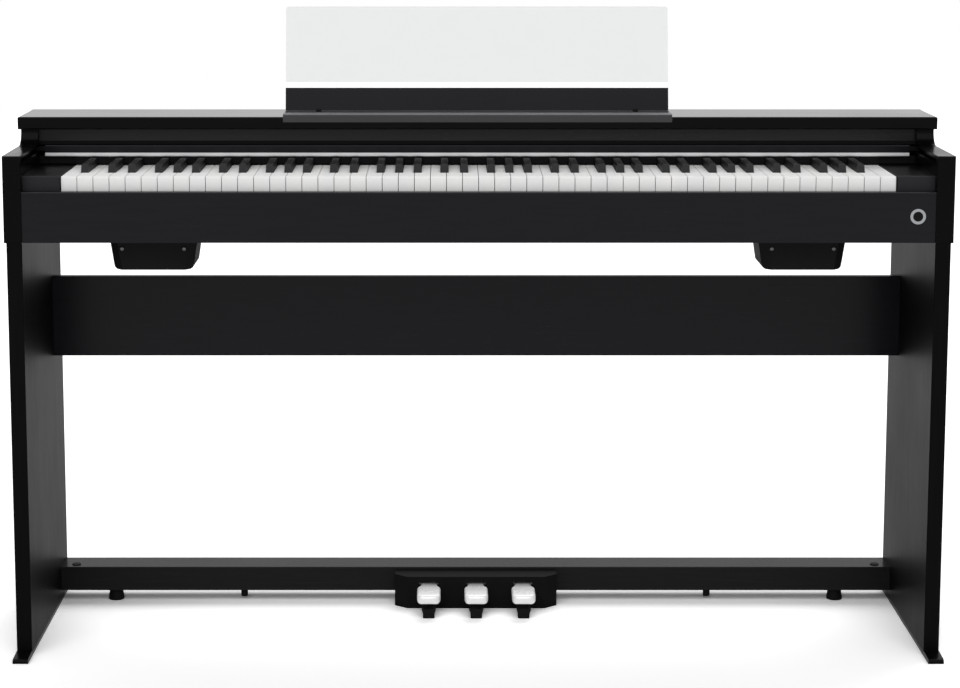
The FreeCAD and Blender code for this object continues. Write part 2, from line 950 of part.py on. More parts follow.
def lean_back(thing, x, across, along):
    """Places a piece of the music rest: across is its depth and along its height up the lean."""
    foot_y = case_front + z.lid_front + z.tray_depth + z.rest_gap
    foot_z = side_top + z.lid_thick + z.rest_rise
    lean = FreeCAD.Rotation(FreeCAD.Vector(-1, 0, 0), z.rest_lean.number)
    thing.Placement = FreeCAD.Placement(FreeCAD.Vector(), lean)
    angle = z.rest_lean.text
    across, along = as_size(across), as_size(along)
    bind(thing, "Placement.Rotation.Angle", z.rest_lean)
    bind(thing, "Placement.Base.x", x)
    thing.setExpression(
        "Placement.Base.y",
        f"{foot_y.text} + {across.text} * cos({angle} * 1deg) + {along.text} * sin({angle} * 1deg)",
    )
    thing.setExpression(
        "Placement.Base.z",
        f"{foot_z.text} - {across.text} * sin({angle} * 1deg) + {along.text} * cos({angle} * 1deg)",
    )


def make_music_rest():
    """A bar that stands on two pegs and holds a clear screen in its top slot."""
    bar = board("rest_bar", (-z.rest_half, z.rest_half), (0, z.bar_thick), (0, z.bar_height))
    slot_front = (z.bar_thick - z.screen_thick) / 2
    slot = rectangle(
        (-z.rest_half - 1, z.rest_half + 1),
        (slot_front - z.fit_gap, slot_front + z.screen_thick + z.fit_gap),
    )
    pocket(bar, "XY", z.bar_height - z.screen_sink, z.screen_sink + 1, slot)
    lean_back(bar, 0, 0, 0)
    node("rest_bar", bar)

    screen_top = z.screen_height
    screen = board(
        "rest_screen",
        (-z.rest_half, z.rest_half),
        (0, z.screen_thick),
        (0, screen_top),
        z.screen_round,
        any_of(edges_on(x=-z.rest_half, z=screen_top), edges_on(x=z.rest_half, z=screen_top)),
    )
    lean_back(screen, 0, slot_front, z.bar_height - z.screen_sink)
    node("rest_screen", screen)

    pegs = []
    for side, word in ((-1, "left"), (1, "right")):
        peg = cylinder(f"{word}_peg", "Z", z.peg_radius, z.peg_length, (0, 0, 0))
        lean_back(peg, side * z.peg_place, z.bar_thick / 2, -z.peg_length)
        pegs.append(peg)
    node("rest_pegs", group("rest_pegs", pegs))


def make_key_cover():
    """A panel that slides over the keys on runners, with a bright trim along its front edge."""
    half = cheek_inner - z.cover_end_gap
    front = case_front + z.cover_front
    panel_back = rear_front - z.cover_rear_gap
    node("key_cover", board(
        "key_cover",
        (-half, half),
        (front, panel_back),
        (cover_bottom, cover_top),
        z.edge_round,
        edges_on(y=front, z=cover_top),
    ))
    node("cover_trim", board(
        "cover_trim",
        (-half, half),
        (front, front + z.trim_depth),
        (cover_bottom - z.trim_height, cover_bottom),
        z.edge_round,
        edges_on(y=front, z=cover_bottom - z.trim_height),
    ))
    middle = cover_bottom + z.cover_thick / 2
    reach = z.cover_end_gap + z.groove_depth - z.runner_gap
    runner_half = z.groove_height / 2 - z.runner_gap
    runners = []
    for side, word in ((-1, "left"), (1, "right")):
        x_span = side_span(side, half, half + reach)
        starts = {"front": front, "rear": panel_back - z.runner_length}
        for end, start in starts.items():
            runners.append(board(
                f"{word}_{end}_runner",
                x_span,
                (start, start + z.runner_length),
                (middle - runner_half, middle + runner_half),
                z.key_round,
                any_of(
                    edges_on(y=start, z=middle - runner_half),
                    edges_on(y=start + z.runner_length, z=middle - runner_half),
                ),
            ))
    node("cover_runners", group("cover_runners", runners))


# ---- keyboard ----

def white_plan(letter_neighbours, pitch_left, pitch_right):
    """Returns the plan of a white key: a full head, and a tail between its black neighbours."""
    left_black, right_black = letter_neighbours
    head_left = pitch_left + z.key_gap / 2
    head_right = pitch_right - z.key_gap / 2
    reach = z.black_width / 2 + z.black_gap
    tail_left = head_left
    tail_right = head_right
    if left_black:
        tail_left = pitch_left + BLACK_SHIFT[left_black] + reach
    if right_black:
        tail_right = pitch_right + BLACK_SHIFT[right_black] - reach
    head_back = key_front + z.head_length
    notch = key_back - z.tail_notch_reach
    right = [(head_right, key_front)]
    if right_black:
        right += [(head_right, head_back), (tail_right, head_back)]
    right += [
        (tail_right, notch),
        (tail_right - z.tail_notch, notch),
        (tail_right - z.tail_notch, key_back),
    ]
    left = [
        (tail_left + z.tail_notch, key_back),
        (tail_left + z.tail_notch, notch),
        (tail_left, notch),
    ]
    if left_black:
        left += [(tail_left, head_back), (head_left, head_back)]
    left.append((head_left, key_front))
    cavity = (tail_left + z.key_wall, tail_right - z.key_wall)
    return right + left, cavity, tail_left, tail_right


def bore_key(key, x_low, x_high):
    """Drills the hole that the balance rod runs through."""
    hole = (pivot_y, pivot_z, z.rod_radius + z.fit_gap)
    pocket(key, "YZ", x_low - 1, x_high - x_low + 2, circles=[hole])


def white_key(name, white_number, neighbours):
    """Makes one white key, hollow underneath."""
    pitch_left = z.key_pitch * white_number - keyboard_half
    pitch_right = pitch_left + z.key_pitch
    plan, cavity, x_low, x_high = white_plan(neighbours, pitch_left, pitch_right)
    key = prism(name, "XY", white_bottom, z.white_height, plan)
    fillet(key, z.key_round, edges_on(y=key_front, z=white_top))
    hollow = rectangle(cavity, (key_front + z.key_wall, key_back - z.tail_notch_reach - z.key_wall))
    pocket(key, "XY", white_bottom, z.white_height - z.key_wall, hollow)
    bore_key(key, x_low, x_high)
    return key


def black_key(name, white_boundary, shift):
    """Makes one black key, with a sloping front above the white keys."""
    middle = z.key_pitch * white_boundary - keyboard_half + shift
    x_low = middle - z.black_width / 2
    foot = key_front + z.head_length + z.black_foot_gap
    step = foot + z.black_length
    outline = [
        (foot, white_bottom),
        (key_back, white_bottom),
        (key_back, white_top),
        (step, white_top),
        (step, black_top),
        (foot + z.black_slope, black_top),
        (foot, white_top),
    ]
    key = prism(name, "YZ", x_low, z.black_width, outline)
    x_high = x_low + z.black_width
    fillet(key, z.black_round, any_of(
        edges_on(x=x_low, z=black_top),
        edges_on(x=x_high, z=black_top),
        edges_on(y=foot + z.black_slope, z=black_top),
    ))
    hollow = rectangle(
        (x_low + z.key_wall, x_high - z.key_wall),
        (foot + z.key_wall, key_back - z.tail_notch_reach - z.key_wall),
    )
    pocket(key, "XY", white_bottom, z.white_height - z.key_wall, hollow)
    bore_key(key, x_low, x_high)
    return key


def moved_copy(shape, pitches):
    """Copies a key's shape along the keyboard by a number of white keys."""
    copy = shape.copy()
    copy.translate(FreeCAD.Vector(z.key_pitch.number * pitches, 0, 0))
    return copy


def make_keys():
    """One octave of single keys, and the rest of the keyboard as copies of those."""
    octave_start = WHITES_BEFORE_FIRST_OCTAVE + SINGLE_OCTAVE * len(WHITE_ORDER)
    whites = {}
    for position, letter in enumerate(WHITE_ORDER):
        name = f"key_{letter}4"
        whites[letter] = white_key(name, octave_start + position, WHITE_NEIGHBOURS[letter])
        node(name, whites[letter])
    blacks = {}
    for letter, boundary in BLACK_AFTER.items():
        name = f"key_{letter}4"
        blacks[letter] = black_key(name, octave_start + boundary, BLACK_SHIFT[letter])
        node(name, blacks[letter])
    lowest = white_key("lowest_white", 0, (None, "as"))
    highest = white_key("highest_white", WHITE_COUNT - 1, (None, None))
    doc.recompute()

    white_shapes = [lowest.Shape.copy(), highest.Shape.copy()]
    white_shapes.append(moved_copy(whites["b"].Shape, -(SINGLE_OCTAVE + 1) * len(WHITE_ORDER)))
    black_shapes = [moved_copy(blacks["as"].Shape, -(SINGLE_OCTAVE + 1) * len(WHITE_ORDER))]
    for octave in range(OCTAVES):
        if octave == SINGLE_OCTAVE:
            continue
        pitches = (octave - SINGLE_OCTAVE) * len(WHITE_ORDER)
        white_shapes += [moved_copy(key.Shape, pitches) for key in whites.values()]
        black_shapes += [moved_copy(key.Shape, pitches) for key in blacks.values()]
    for name, shapes in (("white_keys", white_shapes), ("black_keys", black_shapes)):
        keys = doc.addObject("Part::Feature", name)
        keys.Shape = Part.makeCompound(shapes)
        keys.Placement = FreeCAD.Placement()
        node(name, keys)


def make_key_frame():
    """The chassis under the keys, with ribs that hold the balance rod between E-F and B-C."""
    frame_front = case_front + z.frame_front
    frame_back = pivot_y + z.frame_rear_reach
    plate_top = bed_top + z.frame_plate
    across = (-keyboard_half, keyboard_half)
    stop_bottom = white_bottom - z.key_dip - z.runner_gap - z.stop_felt_thick
    rail_back = frame_front + z.frame_rail_depth
    solids = [
        block("frame_plate", across, (frame_front, frame_back), (bed_top, plate_top)),
        block("front_rail", across, (frame_front, rail_back), (bed_top, stop_bottom)),
    ]
    board_bottom = plate_top + z.sensor_rise
    sensor_front = case_front + z.sensor_front
    sensor_back = sensor_front + z.sensor_depth
    for number, start in enumerate((sensor_front, sensor_back - z.sensor_lip)):
        y_span = (start, start + z.sensor_lip)
        solids.append(block(f"sensor_ridge_{number}", across, y_span, (bed_top, board_bottom)))
    rib_front = pivot_y - z.rib_depth / 2
    rib_top = pivot_z + z.rib_rise
    middles = [z.rib_thick / 2 - keyboard_half, keyboard_half - z.rib_thick / 2]
    for octave in range(OCTAVES + 1):
        octave_start = WHITES_BEFORE_FIRST_OCTAVE + octave * len(WHITE_ORDER)
        middles.append(z.key_pitch * octave_start - keyboard_half)
        if octave < OCTAVES:
            middles.append(z.key_pitch * (octave_start + 3) - keyboard_half)
    for number, middle in enumerate(middles):
        x_span = (middle - z.rib_thick / 2, middle + z.rib_thick / 2)
        y_span = (rib_front, rib_front + z.rib_depth)
        solids.append(block(f"rib_{number}", x_span, y_span, (bed_top, rib_top)))
    bore = cylinder(
        "rod_bore",
        "X",
        z.rod_radius + z.fit_gap,
        keyboard_half * 2 + z.key_pitch * 2,
        (-keyboard_half - z.key_pitch, pivot_y, pivot_z),
    )
    node("key_frame", cut("key_frame", fused("frame_solid", solids), [bore]))
    node("key_rod", cylinder(
        "key_rod", "X", z.rod_radius, keyboard_half * 2, (-keyboard_half, pivot_y, pivot_z)
    ))
    node("sensor_board", block(
        "sensor_board",
        across,
        (sensor_front, sensor_back),
        (board_bottom, board_bottom + z.board_thick),
    ))


# ---- electronics, speakers and button ----

def make_main_board():
    """The circuit board on four posts behind the keys, with its largest components."""
    front = pivot_y + z.frame_rear_reach + z.board_margin
    rear = rear_front - z.board_margin
    bottom = bed_top + z.main_board_rise
    half = z.main_board_half
    top = bottom + z.board_thick
    solids = [block("board_sheet", (-half, half), (front, rear), (bottom, top))]
    inset = z.post_radius * 2
    corners = [(x, y) for x in (-half + inset, half - inset) for y in (front + inset, rear - inset)]
    for number, (x, y) in enumerate(corners):
        height = z.main_board_rise + z.board_thick / 2
        solids.append(cylinder(f"post_{number}", "Z", z.post_radius, height, (x, y, bed_top)))
    chip = z.board_margin * 3
    for number, share in enumerate((-2, -1, 0, 1)):
        middle = half * share / 3 + chip / 2
        x_span = (middle - chip / 2, middle + chip / 2)
        y_span = (front + inset * 2, front + inset * 2 + chip)
        solids.append(block(f"chip_{number}", x_span, y_span, (bottom, top + z.board_thick)))
    node("main_board", fused("main_board", solids))


def make_jack_panel():
    """The socket plate on the rear board: the power inlet and two phone sockets."""
    plate = block(
        "jack_plate",
        (z.jack_place - z.jack_half, z.jack_place + z.jack_half),
        (rear_back, rear_back + z.jack_plate),
        (jack_z - z.jack_half_height, jack_z + z.jack_half_height),
    )
    solids = [plate]
    bores = []
    sockets = ((-1, z.phone_bore), (0, z.phone_bore), (1, z.inlet_bore))
    mouth = rear_back + z.jack_plate
    for share, radius in sockets:
        x = z.jack_place + share * z.jack_spread
        barrel_start = (x, mouth - z.jack_reach, jack_z)
        solids.append(cylinder(f"barrel_{share + 1}", "Y", z.jack_barrel, z.jack_reach, barrel_start))
        bore_start = (x, mouth - z.jack_bore_depth, jack_z)
        bores.append(cylinder(f"socket_{share + 1}", "Y", radius, z.jack_reach, bore_start))
    node("jack_panel", cut("jack_panel", fused("jack_solid", solids), bores))


def make_speakers():
    """Two open-topped boxes under the keybed, each with a driver over its slotted floor."""
    front = case_front + z.speaker_front
    rear = front + z.speaker_depth
    bottom = z.case_bottom - z.speaker_height
    floor_top = bottom + z.speaker_wall
    middle_y = front + z.speaker_depth / 2
    profile = [
        (0, 0),
        (z.driver_radius, 0),
        (z.driver_radius, z.driver_flange),
        (z.magnet_radius, z.driver_height / 2),
        (z.magnet_radius, z.driver_height),
        (0, z.driver_height),
    ]
    drivers = []
    for side, word in ((-1, "left"), (1, "right")):
        x_span = side_span(side, z.speaker_inner, z.speaker_inner + z.speaker_width)
        x_floor = (x_span[0] + z.speaker_draft, x_span[1] - z.speaker_draft)
        outline = [
            (x_span[0], z.case_bottom),
            (x_floor[0], bottom),
            (x_floor[1], bottom),
            (x_span[1], z.case_bottom),
        ]
        shell = prism(f"{word}_speaker_box", "XZ", front, z.speaker_depth, outline)
        chamfer(shell, z.speaker_bevel, steep_on(y=front))
        fillet(shell, z.speaker_round, any_of(
            edges_on(x=x_floor[0], z=bottom),
            edges_on(x=x_floor[1], z=bottom),
        ))
        side_wall = z.speaker_wall + z.speaker_bevel
        inside = rectangle(
            (x_floor[0] + side_wall, x_floor[1] - side_wall),
            (front + z.speaker_wall, rear - z.speaker_wall),
        )
        pocket(shell, "XY", floor_top, z.speaker_height, inside)
        middle_x = (x_span[0] + x_span[1]) / 2
        first = middle_y - z.slot_field / 2
        slot = rectangle(
            (middle_x - z.slot_length / 2, middle_x + z.slot_length / 2),
            (first, first + z.slot_width),
        )
        opening = pocket(shell, "XY", bottom - 1, z.speaker_wall + 2, slot)
        doc.recompute()
        slots = shell.newObject("PartDesign::LinearPattern", f"{word}_slots")
        slots.Originals = [opening]
        slots.Direction = (origin_feature(shell, "Y_Axis"), [""])
        bind(slots, "Length", z.slot_field - z.slot_width)
        slots.Occurrences = SLOT_COUNT
        shell.Tip = slots
        node(f"{word}_speaker_box", shell)
        driver = turned(f"{word}_driver", profile)
        place(driver, middle_x, middle_y, floor_top)
        drivers.append(driver)
    node("speakers", group("speakers", drivers))


def make_button():
    """The power button in its ring, with the switch that closes the barrel behind it."""
    flange_front = slip_front - z.ring_flange
    flange = cylinder("flange", "Y", z.ring_radius, z.ring_flange, (button_x, flange_front, button_z))
    barrel_front = (button_x, slip_front, button_z)
    barrel = cylinder("barrel", "Y", z.ring_barrel - z.fit_gap, z.ring_reach, barrel_front)
    bore = cylinder(
        "button_bore",
        "Y",
        z.button_radius + z.fit_gap,
        z.ring_reach * 2,
        (button_x, flange_front - 1, button_z),
    )
    node("button_ring", cut("button_ring", fused("ring_solid", [flange, barrel]), [bore]))
    button_length = z.button_proud + z.button_reach
    node("power_button", cylinder(
        "power_button",
        "Y",
        z.button_radius,
        button_length,
        (button_x, slip_front - z.button_proud, button_z),
    ))
    switch_depth = z.slip_thick - z.ring_reach
    node("power_switch", cylinder(
        "power_switch",
        "Y",
        z.ring_barrel - z.fit_gap,
        switch_depth,
        (button_x, slip_front + z.ring_reach, button_z),
    ))


def check_document():
    """Stops the build when an object failed, or when a cut took nothing away."""
    doc.recompute()
    for thing in doc.Objects:
        if "Invalid" in thing.State or "Error" in thing.State:
            raise RuntimeError(f"{thing.Label} failed: {thing.State}")
        if thing.TypeId == "PartDesign::Pocket":
            taken = thing.BaseFeature.Shape.Volume - thing.Shape.Volume
            if taken <= 0:
                raise RuntimeError(f"{thing.Label} cut nothing")
    for name, thing in NODES.items():
        if thing.Shape.isNull() or not thing.Shape.isValid() or not thing.Shape.Solids:
            raise RuntimeError(f"{name} has no valid solid")


def write_parts():
    """Writes one STEP file for each node."""
    os.makedirs("parts", exist_ok=True)
    for name, thing in NODES.items():
        thing.Shape.exportStep(f"parts/{name}.step")


button_x = cheek_inner - z.button_inset
button_z = z.case_bottom + z.button_height
jack_z = bed_top + z.jack_rise

make_legs()
make_stand_rails()
make_pedal_unit()
make_cheeks()
make_case_boards()
make_lid()
make_music_rest()
make_key_cover()
make_keys()
make_key_frame()
make_main_board()
make_jack_panel()
make_speakers()
make_button()
check_document()
write_parts()
print(len(NODES), "nodes")
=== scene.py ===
import json
import logging
import math
from dataclasses import dataclass, field
from enum import Enum
from functools import cached_property
from typing import Any, Sequence

import bmesh
import bpy
from mathutils import Matrix, Vector


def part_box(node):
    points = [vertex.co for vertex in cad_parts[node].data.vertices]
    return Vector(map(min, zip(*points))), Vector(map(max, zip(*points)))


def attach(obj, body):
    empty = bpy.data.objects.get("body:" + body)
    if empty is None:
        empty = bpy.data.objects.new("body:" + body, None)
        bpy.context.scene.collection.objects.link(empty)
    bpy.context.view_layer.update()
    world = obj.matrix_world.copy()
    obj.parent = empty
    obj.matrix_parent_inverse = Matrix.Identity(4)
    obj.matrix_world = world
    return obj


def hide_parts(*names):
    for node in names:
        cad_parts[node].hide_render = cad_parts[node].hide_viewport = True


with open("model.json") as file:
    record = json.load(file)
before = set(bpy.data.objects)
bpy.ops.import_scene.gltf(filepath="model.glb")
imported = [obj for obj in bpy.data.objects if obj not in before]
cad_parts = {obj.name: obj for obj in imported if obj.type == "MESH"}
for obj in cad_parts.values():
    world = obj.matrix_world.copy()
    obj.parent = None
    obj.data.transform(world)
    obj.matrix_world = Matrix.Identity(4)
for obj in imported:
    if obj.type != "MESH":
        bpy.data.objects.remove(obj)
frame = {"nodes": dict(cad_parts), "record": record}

LOG = logging.getLogger("digital_piano")
MM = 0.001
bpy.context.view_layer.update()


class Grain(Enum):
    """The axis along which a board's grain runs, as a stretch of its texture."""

    ALONG = (0.06, 1.0, 1.0)
    ACROSS = (1.0, 0.06, 1.0)
    UPRIGHT = (1.0, 1.0, 0.06)


class Axis(Enum):
    """The direction in which a turned piece points."""

    FRONT = Matrix.Rotation(math.radians(90), 4, "X")
    REAR = Matrix.Rotation(math.radians(-90), 4, "X")


class Side(Enum):
    """A way that a surface can face: its axis, and the sign along it."""

    FRONT = ("Y", -1.0)
    TOP = ("Z", 1.0)


# ---- shader toolkit ----


class Channel:
    """A shader socket that can be used in plain arithmetic."""

    def __init__(self, sheet: "Sheet", socket: bpy.types.NodeSocket) -> None:
        """Keeps the socket.

        Args:
            sheet: the material under construction.
            socket: the output that holds the value.
        """
        self.sheet = sheet
        self.socket = socket

    def _with(self, operation: str, first: Any, second: Any) -> "Channel":
        """Adds one Math node.

        Args:
            operation: the Math node's operation.
            first: the left value.
            second: the right value.

        Returns:
            The result.
        """
        made = self.sheet.node("ShaderNodeMath", {"operation": operation}, {0: first, 1: second})
        return Channel(self.sheet, made.outputs[0])

    def __add__(self, other: Any) -> "Channel":
        """Adds."""
        return self._with("ADD", self, other)

    def __sub__(self, other: Any) -> "Channel":
        """Subtracts."""
        return self._with("SUBTRACT", self, other)

    def __rsub__(self, other: Any) -> "Channel":
        """Subtracts from a number."""
        return self._with("SUBTRACT", other, self)

    def __mul__(self, other: Any) -> "Channel":
        """Multiplies."""
        return self._with("MULTIPLY", self, other)

    def __truediv__(self, other: Any) -> "Channel":
        """Divides."""
        return self._with("DIVIDE", self, other)

    def above(self, limit: float) -> "Channel":
        """Gives 1 where the value is over the limit, and 0 elsewhere."""
        return self._with("GREATER_THAN", self, limit)

    __radd__ = __add__
    __rmul__ = __mul__


class Sheet:
    """The shader nodes of one material, or of the sky, under construction."""

    def __init__(self, owner: bpy.types.Material | bpy.types.World) -> None:
        """Empties the owner's nodes.

        Args:
            owner: the material or world that the nodes belong to.
        """
        self.owner = owner
        owner.use_nodes = True
        self.tree = owner.node_tree
        self.tree.nodes.clear()

    @cached_property
    def place(self) -> bpy.types.NodeSocket:
        """Gives the place on the piece, in metres."""
        return self.node("ShaderNodeTexCoord", {}, {}).outputs["Object"]

    def node(self, kind: str, settings: dict[str, Any], values: dict[Any, Any]) -> bpy.types.Node:
        """Adds a node.

        Args:
            kind: the node's type.
            settings: its own settings, with a ramp's stops under "stops".
            values: its sockets, by name or number, each a number, a colour or a link.

        Returns:
            The node.
        """
        made = self.tree.nodes.new(kind)
        for name, setting in settings.items():
            if name == "stops":
                for element, (position, colour) in zip(made.color_ramp.elements, setting):
                    element.position = position
                    element.color = colour
            else:
                setattr(made, name, setting)
        for name, value in values.items():
            socket = made.inputs[name]
            if isinstance(value, Channel):
                self.tree.links.new(value.socket, socket)
            elif isinstance(value, bpy.types.NodeSocket):
                self.tree.links.new(value, socket)
            else:
                socket.default_value = value
        return made

    def noise(
        self, scale: float, detail: float = 3.0, stretch: Sequence[float] = (1.0, 1.0, 1.0)
    ) -> Channel:
        """Adds a noise pattern fixed to the piece.

        Args:
            scale: how many features lie in a metre.
            detail: how many finer layers it has.
            stretch: how the pattern is squeezed along each axis.

        Returns:
            The noise, from 0 to 1.
        """
        spread = self.node("ShaderNodeMapping", {}, {"Vector": self.place, "Scale": tuple(stretch)})
        made = self.node(
            "ShaderNodeTexNoise",
            {},
            {"Vector": spread.outputs[0], "Scale": scale, "Detail": detail},
        )
        return Channel(self, made.outputs[0])

    def height(self) -> Channel:
        """Gives the height above the floor."""
        parts = self.node("ShaderNodeSeparateXYZ", {}, {0: self.place})
        return Channel(self, parts.outputs["Z"])

    def facing(self, side: Side) -> Channel:
        """Gives how far the surface faces one way.

        Args:
            side: the way.

        Returns:
            The share, from -1 to 1.
        """
        axis, sign = side.value
        form = self.node("ShaderNodeNewGeometry", {}, {})
        parts = self.node("ShaderNodeSeparateXYZ", {}, {0: form.outputs["Normal"]})
        return Channel(self, parts.outputs[axis]) * sign

    def blend(self, factor: Channel, low: Sequence[float], high: Sequence[float]) -> Any:
        """Blends two colours.

        Args:
            factor: 0 for the first colour and 1 for the second.
            low: the first colour.
            high: the second colour.

        Returns:
            The colour's socket.
        """
        made = self.node(
            "ShaderNodeMix",
            {"data_type": "RGBA"},
            {0: factor, 6: (*low, 1.0), 7: (*high, 1.0)},
        )
        return made.outputs[2]

    def bump(self, height: Channel, depth: float) -> Any:
        """Turns a height into a surface normal.

        Args:
            height: the height, from 0 to 1.
            depth: what a height of 1 measures, in metres.

        Returns:
            The normal's socket.
        """
        values = {"Height": height, "Distance": depth, "Strength": 1.0}
        return self.node("ShaderNodeBump", {}, values).outputs[0]

    def surface(self, values: dict[str, Any]) -> bpy.types.Material:
        """Ends the material in a Principled shader.

        Args:
            values: the shader's sockets.

        Returns:
            The finished material.
        """
        shader = self.node("ShaderNodeBsdfPrincipled", {}, values)
        self.node("ShaderNodeOutputMaterial", {}, {"Surface": shader.outputs[0]})
        return self.owner


# ---- finishes ----


@dataclass(frozen=True)
class BoardFinish:
    """Black foil over a board, with a fine grain, closed pores and faint handling marks, and if
    asked a paler colour on its forward faces as painted light.
    """

    name: str
    grain: Grain
    gloss: float = 0.24
    ior: float = 1.24
    dark: tuple[float, float, float] = (0.0030, 0.0028, 0.0042)
    light: tuple[float, float, float] = (0.0072, 0.0068, 0.0094)
    pore_depth: float = 0.00003
    painted_front_light_share: float = 0.0

    def make(self) -> bpy.types.Material:
        """Builds the material.

        Returns:
            The finished material.
        """
        sheet = Sheet(bpy.data.materials.new(self.name))
        grain = sheet.noise(210.0, 6.0, self.grain.value)
        tone = grain
        # Painted light: faces that look forward are drawn in the paler colour, as if lit from the
        # front.
        if self.painted_front_light_share:
            front = sheet.facing(Side.FRONT).above(0.5)
            tone = grain * (1.0 - self.painted_front_light_share) * 0.5 + front * self.painted_front_light_share
        pores = sheet.noise(1300.0, 2.0, self.grain.value)
        marks = sheet.noise(7.0, 4.0)
        roughness = grain * 0.10 + pores * 0.05 + marks * 0.10 + (self.gloss - 0.125)
        return sheet.surface({
            "Base Color": sheet.blend(tone, self.dark, self.light),
            "Roughness": roughness,
            "IOR": self.ior,
            "Normal": sheet.bump(grain * 0.6 + pores * 0.4, self.pore_depth),
        })


@dataclass(frozen=True)
class MouldedFinish:
    """Black moulded plastic with a spark-eroded texture, and if asked a far paler top as a painted
    sheen.
    """

    name: str
    gloss: float = 0.48
    ior: float = 1.33
    colour: tuple[float, float, float] = (0.007, 0.007, 0.0072)
    pit_depth: float = 0.00008
    painted_top_sheen: float = 0.0

    def make(self) -> bpy.types.Material:
        """Builds the material.

        Returns:
            The finished material.
        """
        sheet = Sheet(bpy.data.materials.new(self.name))
        pits = sheet.noise(1700.0, 3.0)
        flow = sheet.noise(16.0, 3.0)
        tone = flow
        gain = 1.7
        # Painted sheen: faces that look up get a far paler colour, standing in for the sky's
        # reflection on the top.
        if self.painted_top_sheen:
            gain = self.painted_top_sheen
            tone = flow / gain + sheet.facing(Side.TOP).above(0.7) * (flow * 0.3 + 0.7)
        bright = tuple(part * gain for part in self.colour)
        return sheet.surface({
            "Base Color": sheet.blend(tone, self.colour, bright),
            "Roughness": pits * 0.12 + flow * 0.08 + (self.gloss - 0.10),
            "IOR": self.ior,
            "Normal": sheet.bump(pits, self.pit_depth),
        })


@dataclass(frozen=True)
class WhiteKeyFinish:
    """Smooth warm white plastic, a little different in tone from key to key."""

    name: str
    pitch: float
    cool: tuple[float, float, float] = (0.86, 0.865, 0.87)
    warm: tuple[float, float, float] = (0.92, 0.912, 0.89)

    def make(self) -> bpy.types.Material:
        """Builds the material.

        Returns:
            The finished material.
        """
        sheet = Sheet(bpy.data.materials.new(self.name))
        tone = sheet.noise(0.7 / self.pitch, 1.0, (1.0, 0.05, 0.05))
        wear = sheet.noise(60.0, 4.0)
        touch = sheet.noise(2600.0, 2.0)
        return sheet.surface({
            "Base Color": sheet.blend(tone * 1.6 - 0.3, self.cool, self.warm),
            "Roughness": wear * 0.14 + touch * 0.04 + 0.26,
            "IOR": 1.28,
            "Normal": sheet.bump(touch, 0.00002),
        })


@dataclass(frozen=True)
class BlackKeyFinish:
    """Satin black plastic, with deep black flanks and tops and a paler nose: painted light on the
    forward faces, with faint random wear.
    """

    name: str
    deep: tuple[float, float, float] = (0.003, 0.003, 0.0033)
    wear_and_nose_light: tuple[float, float, float] = (0.020, 0.020, 0.0212)

    def make(self) -> bpy.types.Material:
        """Builds the material.

        Returns:
            The finished material.
        """
        sheet = Sheet(bpy.data.materials.new(self.name))
        grain = sheet.noise(900.0, 3.0, (1.0, 0.08, 1.0))
        wear = sheet.noise(45.0, 3.0)
        # Painted light: the key's forward faces take the paler colour; the wear noise adds a little
        # random tone.
        painted_nose_light = sheet.facing(Side.FRONT).above(0.35) * (wear * 0.5 + 0.6)
        return sheet.surface({
            "Base Color": sheet.blend(painted_nose_light + wear * 0.15, self.deep, self.wear_and_nose_light),
            "Roughness": wear * 0.16 + grain * 0.08 + 0.36,
            "IOR": 1.22,
            "Normal": sheet.bump(grain, 0.00004),
        })


@dataclass(frozen=True)
class MetalFinish:
    """Plated or anodised metal, with fine lines along one axis."""

    name: str
    colour: tuple[float, float, float]
    gloss: float
    stretch: tuple[float, float, float] = (0.02, 1.0, 1.0)
    line_depth: float = 0.00001
    metal: float = 1.0

    def make(self) -> bpy.types.Material:
        """Builds the material.

        Returns:
            The finished material.
        """
        sheet = Sheet(bpy.data.materials.new(self.name))
        lines = sheet.noise(2400.0, 3.0, self.stretch)
        smudge = sheet.noise(30.0, 4.0)
        dull = tuple(part * 0.88 for part in self.colour)
        return sheet.surface({
            "Base Color": sheet.blend(smudge, self.colour, dull),
            "Metallic": self.metal,
            "Roughness": lines * 0.08 + smudge * 0.10 + (self.gloss - 0.09),
            "Normal": sheet.bump(lines, self.line_depth),
        })


@dataclass(frozen=True)
class FeltFinish:
    """Pressed felt: a soft tangle of fibres."""

    name: str
    colour: tuple[float, float, float] = (0.004, 0.004, 0.0045)

    def make(self) -> bpy.types.Material:
        """Builds the material.

        Returns:
            The finished material.
        """
        sheet = Sheet(bpy.data.materials.new(self.name))
        fibres = sheet.noise(1500.0, 8.0)
        tufts = sheet.noise(240.0, 4.0)
        bright = tuple(part * 2.6 for part in self.colour)
        return sheet.surface({
            "Base Color": sheet.blend(fibres, self.colour, bright),
            "Roughness": tufts * 0.10 + 0.88,
            "Sheen Weight": 0.02,
            "IOR": 1.15,
            "Normal": sheet.bump(fibres * 0.7 + tufts * 0.3, 0.0004),
        })


@dataclass(frozen=True)
class AcrylicFinish:
    """Clear acrylic under a grey film that ends a little above its holder, with wipe marks."""

    name: str
    film_foot: float
    film: tuple[float, float, float] = (0.715, 0.730, 0.722)
    bare: tuple[float, float, float] = (0.985, 0.99, 0.99)

    def make(self) -> bpy.types.Material:
        """Builds the material.

        Returns:
            The finished material.
        """
        sheet = Sheet(bpy.data.materials.new(self.name))
        wipes = sheet.noise(38.0, 3.0, (0.25, 1.0, 1.0))
        covered = sheet.height().above(self.film_foot)
        return sheet.surface({
            "Base Color": sheet.blend(covered, self.bare, self.film),
            "Roughness": wipes * 0.04 + 0.005,
            "IOR": 1.49,
            "Transmission Weight": 1.0,
        })


